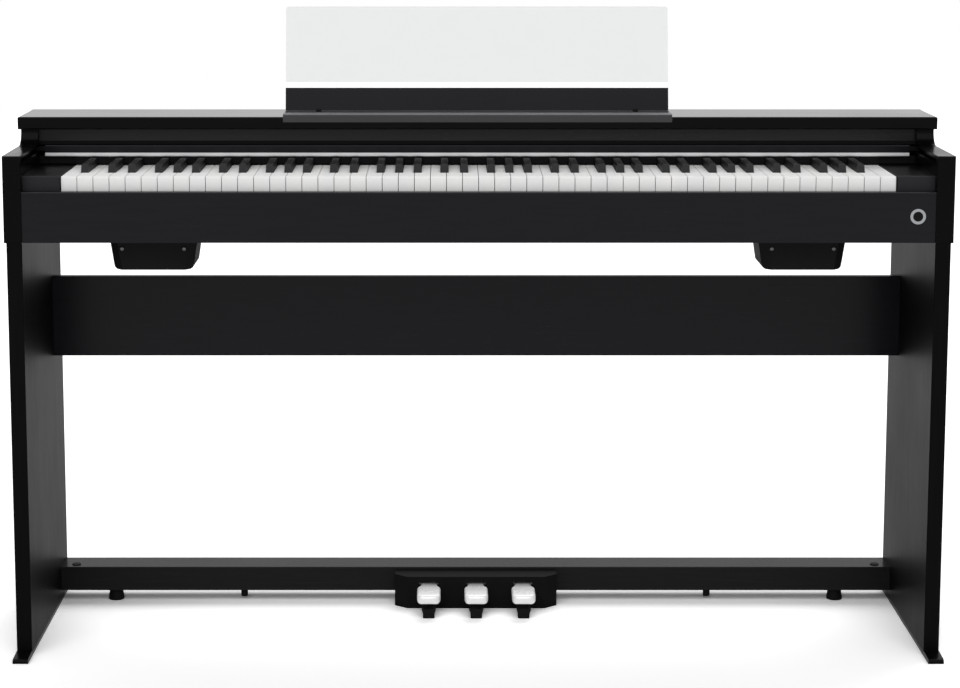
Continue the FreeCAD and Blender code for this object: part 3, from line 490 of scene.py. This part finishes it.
@dataclass(frozen=True)
class CircuitFinish:
    """Green solder mask with copper tracks showing through."""

    name: str

    def make(self) -> bpy.types.Material:
        """Builds the material.

        Returns:
            The finished material.
        """
        sheet = Sheet(bpy.data.materials.new(self.name))
        tracks = sheet.noise(420.0, 0.0, (1.0, 0.15, 1.0)).above(0.56)
        mottle = sheet.noise(90.0, 3.0)
        return sheet.surface({
            "Base Color": sheet.blend(tracks, (0.006, 0.07, 0.022), (0.018, 0.14, 0.05)),
            "Roughness": mottle * 0.15 + 0.28,
            "Coat Weight": mottle * 0.4,
            "Normal": sheet.bump(tracks, 0.00004),
        })


@dataclass(frozen=True)
class PaperConeFinish:
    """Black pulp cone and basket of a loudspeaker."""

    name: str

    def make(self) -> bpy.types.Material:
        """Builds the material.

        Returns:
            The finished material.
        """
        sheet = Sheet(bpy.data.materials.new(self.name))
        pulp = sheet.noise(800.0, 6.0)
        return sheet.surface({
            "Base Color": sheet.blend(pulp, (0.012, 0.012, 0.012), (0.03, 0.03, 0.03)),
            "Roughness": pulp * 0.2 + 0.55,
            "Normal": sheet.bump(pulp, 0.0002),
        })


@dataclass(frozen=True)
class FloorFinish:
    """Matt white studio floor, which stays white to the eye except in close shadow."""

    name: str
    colour: float = 0.95
    seen: float = 1.44

    def make(self) -> bpy.types.Material:
        """Builds the material.

        Returns:
            The finished material.
        """
        sheet = Sheet(bpy.data.materials.new(self.name))
        path = sheet.node("ShaderNodeLightPath", {}, {})
        plain = sheet.node("ShaderNodeBsdfDiffuse", {}, {"Color": (*[self.colour] * 3, 1.0)})
        bright = sheet.node("ShaderNodeBsdfDiffuse", {}, {"Color": (*[self.seen] * 3, 1.0)})
        mixed = sheet.node(
            "ShaderNodeMixShader",
            {},
            {0: path.outputs["Is Camera Ray"], 1: plain.outputs[0], 2: bright.outputs[0]},
        )
        sheet.node("ShaderNodeOutputMaterial", {}, {"Surface": mixed.outputs[0]})
        return sheet.owner


# ---- mesh toolkit ----


def mesh_object(name: str, form: bmesh.types.BMesh, finish: bpy.types.Material) -> bpy.types.Object:
    """Turns a finished form into an object.

    Args:
        name: the piece's name.
        form: the form, which is freed.
        finish: the material.

    Returns:
        The object, linked to the scene.
    """
    bmesh.ops.recalc_face_normals(form, faces=form.faces)
    mesh = bpy.data.meshes.new(name)
    form.to_mesh(mesh)
    form.free()
    mesh.materials.append(finish)
    made = bpy.data.objects.new(name, mesh)
    bpy.context.scene.collection.objects.link(made)
    return made


def smooth(piece: bpy.types.Object, limit: float = 35.0) -> bpy.types.Object:
    """Shades a piece smoothly, with its edges over a limit kept sharp.

    Args:
        piece: the object.
        limit: the angle in degrees over which an edge stays sharp.

    Returns:
        The same object.
    """
    piece.data.shade_smooth()
    piece.data.set_sharp_from_angle(angle=math.radians(limit))
    return piece


def bridge(form: bmesh.types.BMesh, rings: Sequence[Sequence[bmesh.types.BMVert]]) -> None:
    """Closes a row of rings into one skin, with both ends capped.

    Args:
        form: the form that holds the rings.
        rings: rings of equal length, in order.
    """
    for first, second in zip(rings, rings[1:]):
        count = len(first)
        for place in range(count):
            after = (place + 1) % count
            form.faces.new((first[place], first[after], second[after], second[place]))
    form.faces.new(list(reversed(rings[0])))
    form.faces.new(rings[-1])


def turned_form(outline: Sequence[tuple[float, float]], count: int = 40) -> bmesh.types.BMesh:
    """Turns an outline around the upright axis.

    Args:
        outline: (radius, height) points, from the bottom cap to the top cap.
        count: how many sides it has.

    Returns:
        The form.
    """
    form = bmesh.new()
    rings = []
    for radius, height in outline:
        ring = []
        for place in range(count):
            angle = math.tau * place / count
            spot = (radius * math.cos(angle), radius * math.sin(angle), height)
            ring.append(form.verts.new(spot))
        rings.append(ring)
    bridge(form, rings)
    return form


def rounded_section(
    half: float, low: float, high: float, corner: float, steps: int = 5
) -> list[tuple[float, float]]:
    """Draws a rectangle with round corners.

    Args:
        half: half its width.
        low: its lowest height.
        high: its highest height.
        corner: the corners' radius.
        steps: how many sides each corner has.

    Returns:
        Its (sideways, height) points in order.
    """
    radius = min(corner, half * 0.98, (high - low) * 0.49)
    corners = (
        (half - radius, high - radius, 0.0),
        (radius - half, high - radius, 90.0),
        (radius - half, low + radius, 180.0),
        (half - radius, low + radius, 270.0),
    )
    points = []
    for side, height, start in corners:
        for step in range(steps + 1):
            angle = math.radians(start + 90.0 * step / steps)
            points.append((side + radius * math.cos(angle), height + radius * math.sin(angle)))
    return points


def quarter(reach: float, radius: float) -> float:
    """Gives how far a round corner has drawn in at a distance from the tip.

    Args:
        reach: the distance from the tip.
        radius: the corner's radius.

    Returns:
        The amount by which the outline is smaller there.
    """
    if reach >= radius:
        return 0.0
    return radius - math.sqrt(radius * radius - (radius - reach) ** 2)


def ease(share: float) -> float:
    """Smooths a share from 0 to 1 at both ends."""
    held = min(1.0, max(0.0, share))
    return held * held * (3.0 - 2.0 * held)


# ---- sub-assemblies ----


@dataclass
class Palette:
    """Every finish of the instrument, made once."""

    key_pitch: float = 23.6 * MM
    bare_strip: float = 8.0 * MM
    finishes: dict[str, bpy.types.Material] = field(default_factory=dict)

    def build(self) -> None:
        """Makes the materials."""
        film_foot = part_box("rest_bar")[1].z + self.bare_strip
        # Painted shade: a darker copy of the black foil for the lid, cheeks, feet and legs, so that
        # their front edges read dark as in shade.
        shaded_foil_dark, shaded_foil_light = (0.0010, 0.0010, 0.0012), (0.0030, 0.0030, 0.0034)
        made = (
            BoardFinish("long_board", Grain.ALONG),
            BoardFinish(
                "lid_board", Grain.ALONG, gloss=0.13, ior=1.15,
                dark=shaded_foil_dark, light=shaded_foil_light, pore_depth=0.00001,
            ),
            BoardFinish(
                "cheek_board", Grain.ACROSS, gloss=0.22, ior=1.13,
                dark=shaded_foil_dark, light=shaded_foil_light, pore_depth=0.00002,
            ),
            BoardFinish(
                "beam_board", Grain.ALONG, gloss=0.26, ior=1.12,
                dark=(0.0095, 0.0095, 0.0100), light=(0.0140, 0.0140, 0.0148),
            ),
            BoardFinish("rest_board", Grain.ALONG, gloss=0.24, ior=1.19),
            BoardFinish(
                "rail_board", Grain.ALONG, gloss=0.26, ior=1.24,
                dark=(0.0140, 0.0136, 0.0152), light=(0.0205, 0.0200, 0.0224),
            ),
            # The key blocks' fronts take a paler colour here as painted light.
            BoardFinish(
                "block_board", Grain.ACROSS, gloss=0.34, ior=1.14,
                dark=(0.0012, 0.0012, 0.0014), light=(0.0275, 0.0270, 0.0300),
                painted_front_light_share=0.8,
            ),
            BoardFinish(
                "tall_board", Grain.UPRIGHT, gloss=0.42, ior=1.12,
                dark=shaded_foil_dark, light=shaded_foil_light, pore_depth=0.00002,
            ),
            MouldedFinish("moulded"),
            MouldedFinish("box_moulded", gloss=0.62, ior=1.15, colour=(0.0065, 0.0065, 0.0068)),
            MouldedFinish("pedal_moulded", gloss=0.62, ior=1.10, colour=(0.0048, 0.0048, 0.0051)),
            MouldedFinish("matt_moulded", gloss=0.62, ior=1.17, colour=(0.0035, 0.0035, 0.0038)),
            # The tray's top is drawn far paler here, a painted sheen.
            MouldedFinish(
                "tray_moulded", gloss=0.60, ior=1.45, colour=(0.0165, 0.0165, 0.0180),
                pit_depth=0.00003, painted_top_sheen=8.5,
            ),
            MouldedFinish(
                "rubber", gloss=0.75, ior=1.2, colour=(0.004, 0.004, 0.004), pit_depth=0.0002
            ),
            WhiteKeyFinish("white_key", self.key_pitch),
            BlackKeyFinish("black_key"),
            MetalFinish(
                "chrome", (0.94, 0.94, 0.945), gloss=0.28, stretch=(1.0, 0.05, 1.0), metal=0.2
            ),
            MetalFinish("steel", (0.45, 0.45, 0.46), gloss=0.32),
            MetalFinish("dark_screw", (0.16, 0.16, 0.17), gloss=0.34),
            MetalFinish("socket_nickel", (0.66, 0.65, 0.62), gloss=0.2),
            MetalFinish("trim", (0.84, 0.84, 0.86), gloss=0.40, metal=0.3),
            MetalFinish("ring", (0.36, 0.37, 0.385), gloss=0.3, stretch=(1.0, 1.0, 1.0)),
            FeltFinish("felt"),
            AcrylicFinish("acrylic", film_foot),
            CircuitFinish("circuit"),
            PaperConeFinish("cone"),
        )
        for finish in made:
            self.finishes[finish.name] = finish.make()
            LOG.info("finish %s", finish.name)

    def __getitem__(self, name: str) -> bpy.types.Material:
        """Gives one material."""
        return self.finishes[name]


@dataclass
class Dresser:
    """Gives carried-over parts their finishes."""

    palette: Palette
    nodes: dict[str, bpy.types.Object]
    done: set[str] = field(default_factory=set)

    def dress(self, finish: str, *names: str) -> None:
        """Assigns one finish to parts.

        Args:
            finish: the finish's name.
            names: the parts.
        """
        for name in names:
            for material_slot in self.nodes[name].material_slots:
                material_slot.material = self.palette[finish]
            self.done.add(name)
            LOG.info("part %s in %s", name, finish)

    def left_over(self) -> list[str]:
        """Lists the parts that still have no finish."""
        return sorted(set(self.nodes) - self.done)


@dataclass
class ScrewHead:
    """A pan-head screw with a cross recess."""

    radius: float = 3.1 * MM
    height: float = 1.5 * MM
    arm_half: float = 0.55 * MM
    arm_reach: float = 1.9 * MM
    depth: float = 1.0 * MM
    crown_power: float = 3.2
    rim_share: float = 0.15
    recess_slope: float = 0.5
    sides: int = 48
    rings: int = 12

    def place(
        self, name: str, body: str, spot: Sequence[float], axis: Axis, finish: bpy.types.Material
    ) -> bpy.types.Object:
        """Builds one screw on a face.

        Args:
            name: the piece's name.
            body: the body on which it rides.
            spot: the middle of its seat.
            axis: the way it points.
            finish: its material.

        Returns:
            The piece.
        """
        form = bmesh.new()
        shells = []
        foot = [self._vertex(form, self.radius, side, 0.0) for side in range(self.sides)]
        shells.append(foot)
        for ring in range(self.rings, 0, -1):
            share = ring / self.rings
            radius = self.radius * share
            dome = math.sqrt(max(0.0, 1.0 - share**self.crown_power))
            crown = self.height * dome * (1.0 - self.rim_share)
            crown += self.height * self.rim_share
            shells.append([
                self._vertex(form, radius, side, crown - self._recess(radius, side))
                for side in range(self.sides)
            ])
        bridge(form, shells)
        piece = smooth(mesh_object(name, form, finish), limit=40.0)
        piece.matrix_world = Matrix.Translation(Vector(spot)) @ axis.value
        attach(piece, body)
        LOG.info("piece %s", name)
        return piece

    def _vertex(
        self, form: bmesh.types.BMesh, radius: float, side: int, height: float
    ) -> bmesh.types.BMVert:
        """Adds one vertex of a ring.

        Args:
            form: the form that holds the ring.
            radius: the ring's radius.
            side: the vertex's number around the ring.
            height: its height over the seat.

        Returns:
            The vertex.
        """
        angle = math.tau * side / self.sides
        return form.verts.new((radius * math.cos(angle), radius * math.sin(angle), height))

    def _recess(self, radius: float, side: int) -> float:
        """Gives how deep the cross is at a place on the head.

        Args:
            radius: the place's distance from the middle.
            side: the place's number around the head.

        Returns:
            The depth, or 0 beside the cross.
        """
        angle = math.tau * side / self.sides
        across = min(abs(radius * math.cos(angle)), abs(radius * math.sin(angle)))
        if radius > self.arm_reach or across > self.arm_half:
            return 0.0
        return self.depth * (1.0 - self.recess_slope * radius / self.arm_reach)


@dataclass
class PedalUnit:
    """Three plated levers on one shaft, in a box at the beam, each with a rubber stop."""

    dresser: Dresser
    names: tuple[str, ...] = ("soft_pedal", "sostenuto_pedal", "damper_pedal")
    nose_round: float = 11.0 * MM
    tip_round: float = 5.5 * MM
    section_round: float = 3.4 * MM
    head_length: float = 49.0 * MM
    waist_end: float = 63.5 * MM
    neck_half: float = 13.3 * MM
    crown: float = 0.8 * MM
    lip_drop: float = 3.4 * MM
    lip_start: float = 3.0 * MM
    lip_length: float = 11.0 * MM
    tip_rise: float = 0.75
    tip_steps: int = 9
    waist_steps: int = 28
    tail_steps: int = 8
    bore: float = 3.4 * MM
    stop_front: float = 34.2 * MM
    stop_back: float = 58.0 * MM
    stop_half: float = 9.2 * MM
    stop_flare: float = 2.3 * MM
    stop_height: float = 15.4 * MM
    stop_lean: float = 0.4 * MM
    stop_round: float = 2.0 * MM
    stop_mitre: float = 0.6 * MM
    stop_steps: int = 8
    finger_half: float = 7.6 * MM
    finger_front: float = 34.9 * MM

    def build(self) -> None:
        """Builds the levers and dresses the rest of the unit."""
        self.dresser.dress("pedal_moulded", "pedal_box", "pedal_base")
        self.dresser.dress("steel", "pedal_shaft", "pedal_springs")
        for name in self.names:
            self.dresser.dress("chrome", name)
            self._lever(name)
            self._stop(name)

    def _stations(self, length: float) -> list[float]:
        """Lists the distances from the tip at which a section stands.

        Args:
            length: the lever's length.

        Returns:
            The distances, close together round the tip.
        """
        first = 5.0
        turns = [
            math.radians(first + (90.0 - first) * step / self.tip_steps)
            for step in range(self.tip_steps + 1)
        ]
        near = [self.tip_round * (1.0 - math.cos(turn)) for turn in turns]
        body = self.waist_end - self.tip_round
        middle = [
            self.tip_round + body * step / self.waist_steps
            for step in range(1, self.waist_steps + 1)
        ]
        tail = length - self.waist_end
        far = [
            self.waist_end + tail * step / self.tail_steps
            for step in range(1, self.tail_steps + 1)
        ]
        return near + middle + far

    def _lever(self, name: str) -> None:
        """Builds one lever.

        Args:
            name: the lever's part in the frame.
        """
        low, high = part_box(name)
        middle = (low.x + high.x) / 2
        head_half = (high.x - low.x) / 2
        form = bmesh.new()
        rings = []
        for reach in self._stations(high.y - low.y):
            narrowing = ease((reach - self.head_length) / (self.waist_end - self.head_length))
            half = head_half - quarter(reach, self.nose_round)
            half += (self.neck_half - head_half) * narrowing
            drawn = quarter(reach, self.tip_round)
            lip = self.lip_drop * (1.0 - ease((reach - self.lip_start) / self.lip_length))
            floor = low.z + drawn * self.tip_rise - lip
            rings.append([
                form.verts.new((
                    middle + side,
                    low.y + reach,
                    self._crowned(side, height, half, low.z, high.z),
                ))
                for side, height in rounded_section(
                    half, floor, high.z - drawn, self.section_round
                )
            ])
        bridge(form, rings)
        piece = mesh_object(f"{name}_lever", form, self.dresser.palette["chrome"])
        self._bore(piece, low, high)
        smooth(piece, limit=50.0)
        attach(piece, name)
        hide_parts(name)
        LOG.info("piece %s", piece.name)

    def _stop(self, name: str) -> None:
        """Wraps the finger under one lever in a flared rubber boot.

        Args:
            name: the lever's part in the frame.
        """
        low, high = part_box(name)
        middle = (low.x + high.x) / 2
        form = bmesh.new()
        rings = []
        late = 1.6
        for step in range(self.stop_steps + 1):
            share = step / self.stop_steps
            half = self.stop_half + self.stop_flare * ease(share * late - (late - 1.0))
            front = self.stop_front - self.stop_lean * ease(share)
            outline = (
                (self.finger_half, self.stop_back),
                (self.finger_half, self.finger_front),
                (-self.finger_half, self.finger_front),
                (-self.finger_half, self.stop_back),
                (-half, self.stop_back),
                (-half, front + self.stop_round),
                (self.stop_mitre - half, front + self.stop_mitre),
                (self.stop_round - half, front),
                (half - self.stop_round, front),
                (half - self.stop_mitre, front + self.stop_mitre),
                (half, front + self.stop_round),
                (half, self.stop_back),
            )
            rings.append([
                form.verts.new((middle + side, place, self.stop_height * share))
                for side, place in outline
            ])
        bridge(form, rings)
        piece = smooth(mesh_object(f"{name}_stop", form, self.dresser.palette["rubber"]))
        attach(piece, "case")
        LOG.info("piece %s", piece.name)

    def _crowned(self, side: float, height: float, half: float, floor: float, top: float) -> float:
        """Draws the top's edges down a little, so that the lever is crowned.

        Args:
            side: the point's distance from the middle.
            height: its height before that.
            half: half the lever's width there.
            floor: the lever's lowest height.
            top: the lever's highest height.

        Returns:
            Its new height.
        """
        share = (height - floor) / (top - floor)
        return height - self.crown * share * (side / half) ** 2

    def _bore(self, piece: bpy.types.Object, low: Vector, high: Vector) -> None:
        """Cuts the shaft's hole across a lever.

        Args:
            piece: the lever.
            low: the lever's lowest corner.
            high: the lever's highest corner.
        """
        shaft_low, shaft_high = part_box("pedal_shaft")
        centre = (shaft_low + shaft_high) / 2
        width = high.x - low.x
        form = turned_form([(self.bore, -width), (self.bore, width)], count=32)
        turn = Matrix.Rotation(math.radians(90), 3, "Y")
        bmesh.ops.rotate(form, matrix=turn, verts=form.verts)
        bmesh.ops.translate(form, vec=((low.x + high.x) / 2, centre.y, centre.z), verts=form.verts)
        cutter = mesh_object("bore_tool", form, self.dresser.palette["chrome"])
        cut = piece.modifiers.new("bore", "BOOLEAN")
        cut.operation = "DIFFERENCE"
        cut.solver = "EXACT"
        cut.object = cutter
        bpy.context.view_layer.update()
        shaped = bpy.data.meshes.new_from_object(
            piece.evaluated_get(bpy.context.evaluated_depsgraph_get())
        )
        piece.modifiers.clear()
        piece.data = shaped
        bpy.data.objects.remove(cutter)


@dataclass
class Stand:
    """Two tall side panels on long feet, a back panel and the pedal beam."""

    dresser: Dresser

    def build(self) -> None:
        """Dresses the stand."""
        self.dresser.dress("tall_board", "left_leg", "right_leg")
        self.dresser.dress("cheek_board", "left_foot", "right_foot")
        self.dresser.dress("long_board", "back_panel")
        self.dresser.dress("beam_board", "pedal_beam")
        self.dresser.dress("rubber", "beam_pads")
        self.dresser.dress("matt_moulded", "beam_caps", "left_adjuster", "right_adjuster")


@dataclass
class Case:
    """The boards around the keys, the sliding cover and the music rest."""

    dresser: Dresser
    screw: ScrewHead = field(default_factory=ScrewHead)
    screw_inset: float = 20.5 * MM
    screw_drop: float = 20.0 * MM
    row_inset: float = 18.0 * MM
    row_count: int = 7
    stud_radius: float = 4.2 * MM
    stud_height: float = 3.6 * MM
    stud_inset: float = 5.2 * MM
    stud_place: float = 4.0 * MM
    stud_steps: int = 7
    stud_flat: float = 0.35
    stud_rim: float = 0.3
    strip_proud: float = 1.6 * MM
    strip_reach: float = 8.0 * MM
    strip_gap: float = 0.3 * MM
    strip_round: float = 0.4 * MM
    nut_gap: float = 0.2 * MM
    nut_wall: float = 3.0 * MM
    nut_height: float = 1.7 * MM
    nut_chamfer: float = 0.5 * MM
    nut_lip: float = 0.6 * MM
    nut_step: float = 0.4 * MM
    nut_sides: int = 48

    def build(self) -> None:
        """Dresses the case."""
        self.dresser.dress("cheek_board", "left_cheek", "right_cheek")
        self.dresser.dress("block_board", "left_key_block", "right_key_block")
        self.dresser.dress("long_board", "keybed", "key_slip", "rear_board", "key_cover")
        self.dresser.dress("rest_board", "rest_bar")
        self.dresser.dress("rail_board", "upper_rail")
        self.dresser.dress("lid_board", "top_board")
        self.dresser.dress("tray_moulded", "rest_tray")
        self.dresser.dress("matt_moulded", "rest_pegs", "cover_runners", "power_switch")
        self.dresser.dress("box_moulded", "left_speaker_box", "right_speaker_box", "jack_panel")
        self.dresser.dress("moulded", "key_frame")
        self.dresser.dress("matt_moulded", "power_button")
        self.dresser.dress("trim", "cover_trim")
        self.dresser.dress("ring", "button_ring")
        self.dresser.dress("felt", "felt_rail", "key_felts")
        self.dresser.dress("acrylic", "rest_screen")
        self.dresser.dress("cone", "speakers")
        self.dresser.dress("steel", "key_rod")
        self.dresser.dress("circuit", "sensor_board", "main_board")
        self._rail_strip()
        self._rest_studs()
        self._speaker_screws()
        self._back_screws()
        self._socket_nuts()

    def _rail_strip(self) -> None:
        """Hangs a felt strip under the fixed rail, down to the sliding cover."""
        low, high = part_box("upper_rail")
        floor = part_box("key_cover")[1].z + self.strip_gap
        half = (self.strip_proud + self.strip_reach) / 2
        middle = low.y - self.strip_proud + half
        section = rounded_section(half, floor, low.z, self.strip_round)
        form = bmesh.new()
        rings = [
            [form.verts.new((end, middle + side, height)) for side, height in section]
            for end in (low.x, high.x)
        ]
        bridge(form, rings)
        piece = smooth(mesh_object("rail_strip", form, self.dresser.palette["felt"]))
        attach(piece, "case")
        LOG.info("piece %s", piece.name)

    def _rest_studs(self) -> None:
        """Sets a small domed plug on the tray in front of each peg of the music rest."""
        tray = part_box("rest_tray")[1]
        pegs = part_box("rest_pegs")
        radius = self.stud_radius
        places = (pegs[0].x + self.stud_place, pegs[1].x - self.stud_place)
        for number, place in enumerate(places):
            outline = [(radius, 0.0)]
            for step in range(self.stud_steps):
                turn = math.radians(90.0 * step / self.stud_steps)
                outline.append((
                    radius * (self.stud_flat + (1.0 - self.stud_flat) * math.cos(turn)),
                    self.stud_height * (self.stud_rim + (1.0 - self.stud_rim) * math.sin(turn)),
                ))
            form = turned_form(outline, count=32)
            name = f"rest_stud_{number}"
            piece = smooth(mesh_object(name, form, self.dresser.palette["rubber"]))
            piece.matrix_world = Matrix.Translation((place, tray.y - self.stud_inset, tray.z))
            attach(piece, "case")
            LOG.info("piece %s", name)

    def _speaker_screws(self) -> None:
        """Fixes each speaker box with two screws on its front face."""
        for word in ("left", "right"):
            low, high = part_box(f"{word}_speaker_box")
            for number, place in enumerate((low.x + self.screw_inset, high.x - self.screw_inset)):
                self.screw.place(
                    f"{word}_speaker_screw_{number}",
                    "case",
                    (place, low.y, high.z - self.screw_drop),
                    Axis.FRONT,
                    self.dresser.palette["dark_screw"],
                )

    def _back_screws(self) -> None:
        """Fixes the rear board to the case with a row of screws near its upper and lower edges."""
        low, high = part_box("rear_board")
        span = high.x - low.x - 2 * self.row_inset
        for row, height in enumerate((low.z + self.row_inset, high.z - self.row_inset)):
            for number in range(self.row_count):
                place = low.x + self.row_inset + span * number / (self.row_count - 1)
                self.screw.place(
                    f"rear_screw_{row}_{number}",
                    "case",
                    (place, high.y, height),
                    Axis.REAR,
                    self.dresser.palette["dark_screw"],
                )

    def _socket_nuts(self) -> None:
        """Puts a nickel nut around each socket of the jack panel."""
        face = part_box("jack_panel")[1].y
        for mount in frame["record"]["mounts"]:
            if mount["kind"] != "bore":
                continue
            inner = mount["dims"]["r_mm"] * MM + self.nut_gap
            outer = inner + self.nut_wall
            form = bmesh.new()
            outline = (
                (inner, 0.0),
                (outer, 0.0),
                (outer, self.nut_height - self.nut_chamfer),
                (outer - self.nut_chamfer, self.nut_height),
                (inner + self.nut_lip, self.nut_height),
                (inner, self.nut_height - self.nut_step),
            )
            count = self.nut_sides
            rings = [
                [
                    form.verts.new((
                        radius * math.cos(math.tau * side / count),
                        radius * math.sin(math.tau * side / count),
                        height,
                    ))
                    for radius, height in outline
                ]
                for side in range(count)
            ]
            steps = len(outline)
            for side in range(count):
                first, second = rings[side], rings[(side + 1) % count]
                for step in range(steps):
                    after = (step + 1) % steps
                    form.faces.new((first[step], second[step], second[after], first[after]))
            name = f"{mount['name']}_nut"
            piece = smooth(mesh_object(name, form, self.dresser.palette["socket_nickel"]))
            spot = Vector((mount["pos_m"][0], face, mount["pos_m"][2]))
            piece.matrix_world = Matrix.Translation(spot) @ Axis.REAR.value
            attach(piece, "case")
            LOG.info("piece %s", name)


@dataclass
class Keyboard:
    """Eighty-eight keys."""

    dresser: Dresser
    whites: tuple[str, ...] = ("c4", "d4", "e4", "f4", "g4", "a4", "b4")
    blacks: tuple[str, ...] = ("cs4", "ds4", "fs4", "gs4", "as4")

    def build(self) -> None:
        """Dresses the keys."""
        self.dresser.dress("white_key", "white_keys", *(f"key_{name}" for name in self.whites))
        self.dresser.dress("black_key", "black_keys", *(f"key_{name}" for name in self.blacks))


@dataclass
class Studio:
    """A plain white room with soft lamps and the camera."""

    floor_half: float = 9.0
    sky_level: float = 0.50
    sun_level: float = 1.0
    fill_level: float = 1.25
    camera_spot: tuple[float, float, float] = (-0.0487, -3.650, 1.136)
    camera_pitch: float = 8.31
    lens: float = 90.4
    shift: tuple[float, float] = (0.0360, -0.104)
    reach: float = 60.0
    floor_cells: int = 6

    def build(self) -> None:
        """Sets up the floor, the sky, the lamps and the camera."""
        self._floor()
        self._sky()
        self._lamp("key_lamp", self.sun_level, (-30.0, 10.0, 0.0), 40.0)
        self._lamp("fill_lamp", self.fill_level, (46.0, -8.0, 0.0), 60.0)
        self._camera()

    def _floor(self) -> None:
        """Lays the floor."""
        form = bmesh.new()
        cells = self.floor_cells
        bmesh.ops.create_grid(form, x_segments=cells, y_segments=cells, size=self.floor_half)
        floor = mesh_object("floor", form, FloorFinish("floor_white").make())

    def _sky(self) -> None:
        """Makes a sky that is white to the eye and in reflections, and even light elsewhere."""
        world = bpy.data.worlds.new("studio_sky")
        bpy.context.scene.world = world
        sheet = Sheet(world)
        path = sheet.node("ShaderNodeLightPath", {}, {})
        seen = Channel(sheet, path.outputs["Is Camera Ray"])
        seen = seen + Channel(sheet, path.outputs["Is Glossy Ray"])
        seen = seen + Channel(sheet, path.outputs["Is Transmission Ray"])
        tint = (1.0, 1.0, 1.0, 1.0)
        even = sheet.node(
            "ShaderNodeBackground", {}, {"Color": tint, "Strength": self.sky_level}
        )
        white = sheet.node("ShaderNodeBackground", {}, {"Color": tint, "Strength": 1.0})
        mixed = sheet.node(
            "ShaderNodeMixShader", {}, {0: seen, 1: even.outputs[0], 2: white.outputs[0]}
        )
        sheet.node("ShaderNodeOutputWorld", {}, {"Surface": mixed.outputs[0]})

    def _lamp(
        self, name: str, level: float, turn: tuple[float, float, float], spread: float
    ) -> None:
        """Hangs one broad soft lamp.

        Args:
            name: the lamp's name.
            level: its strength.
            turn: its rotation in degrees.
            spread: how wide it looks, in degrees.
        """
        lamp = bpy.data.lights.new(name, "SUN")
        lamp.energy = level
        lamp.angle = math.radians(spread)
        made = bpy.data.objects.new(name, lamp)
        made.rotation_euler = [math.radians(part) for part in turn]
        bpy.context.scene.collection.objects.link(made)

    def _camera(self) -> None:
        """Places the camera in front, a little above the lid."""
        eye = bpy.data.cameras.new("camera")
        eye.lens = self.lens
        eye.shift_x, eye.shift_y = self.shift
        eye.clip_end = self.reach
        made = bpy.data.objects.new("camera", eye)
        made.location = self.camera_spot
        made.rotation_euler = (math.radians(90.0 - self.camera_pitch), 0.0, 0.0)
        bpy.context.scene.collection.objects.link(made)
        bpy.context.scene.camera = made


def main() -> None:
    """Builds the scene."""
    logging.basicConfig(level=logging.INFO, format="%(message)s")
    bpy.context.scene.view_settings.view_transform = "Standard"
    Studio().build()
    palette = Palette()
    palette.build()
    dresser = Dresser(palette, frame["nodes"])
    Stand(dresser).build()
    PedalUnit(dresser).build()
    Case(dresser).build()
    Keyboard(dresser).build()
    if dresser.left_over():
        raise ValueError(f"parts with no finish: {dresser.left_over()}")


if __name__ == "__main__":
    main()
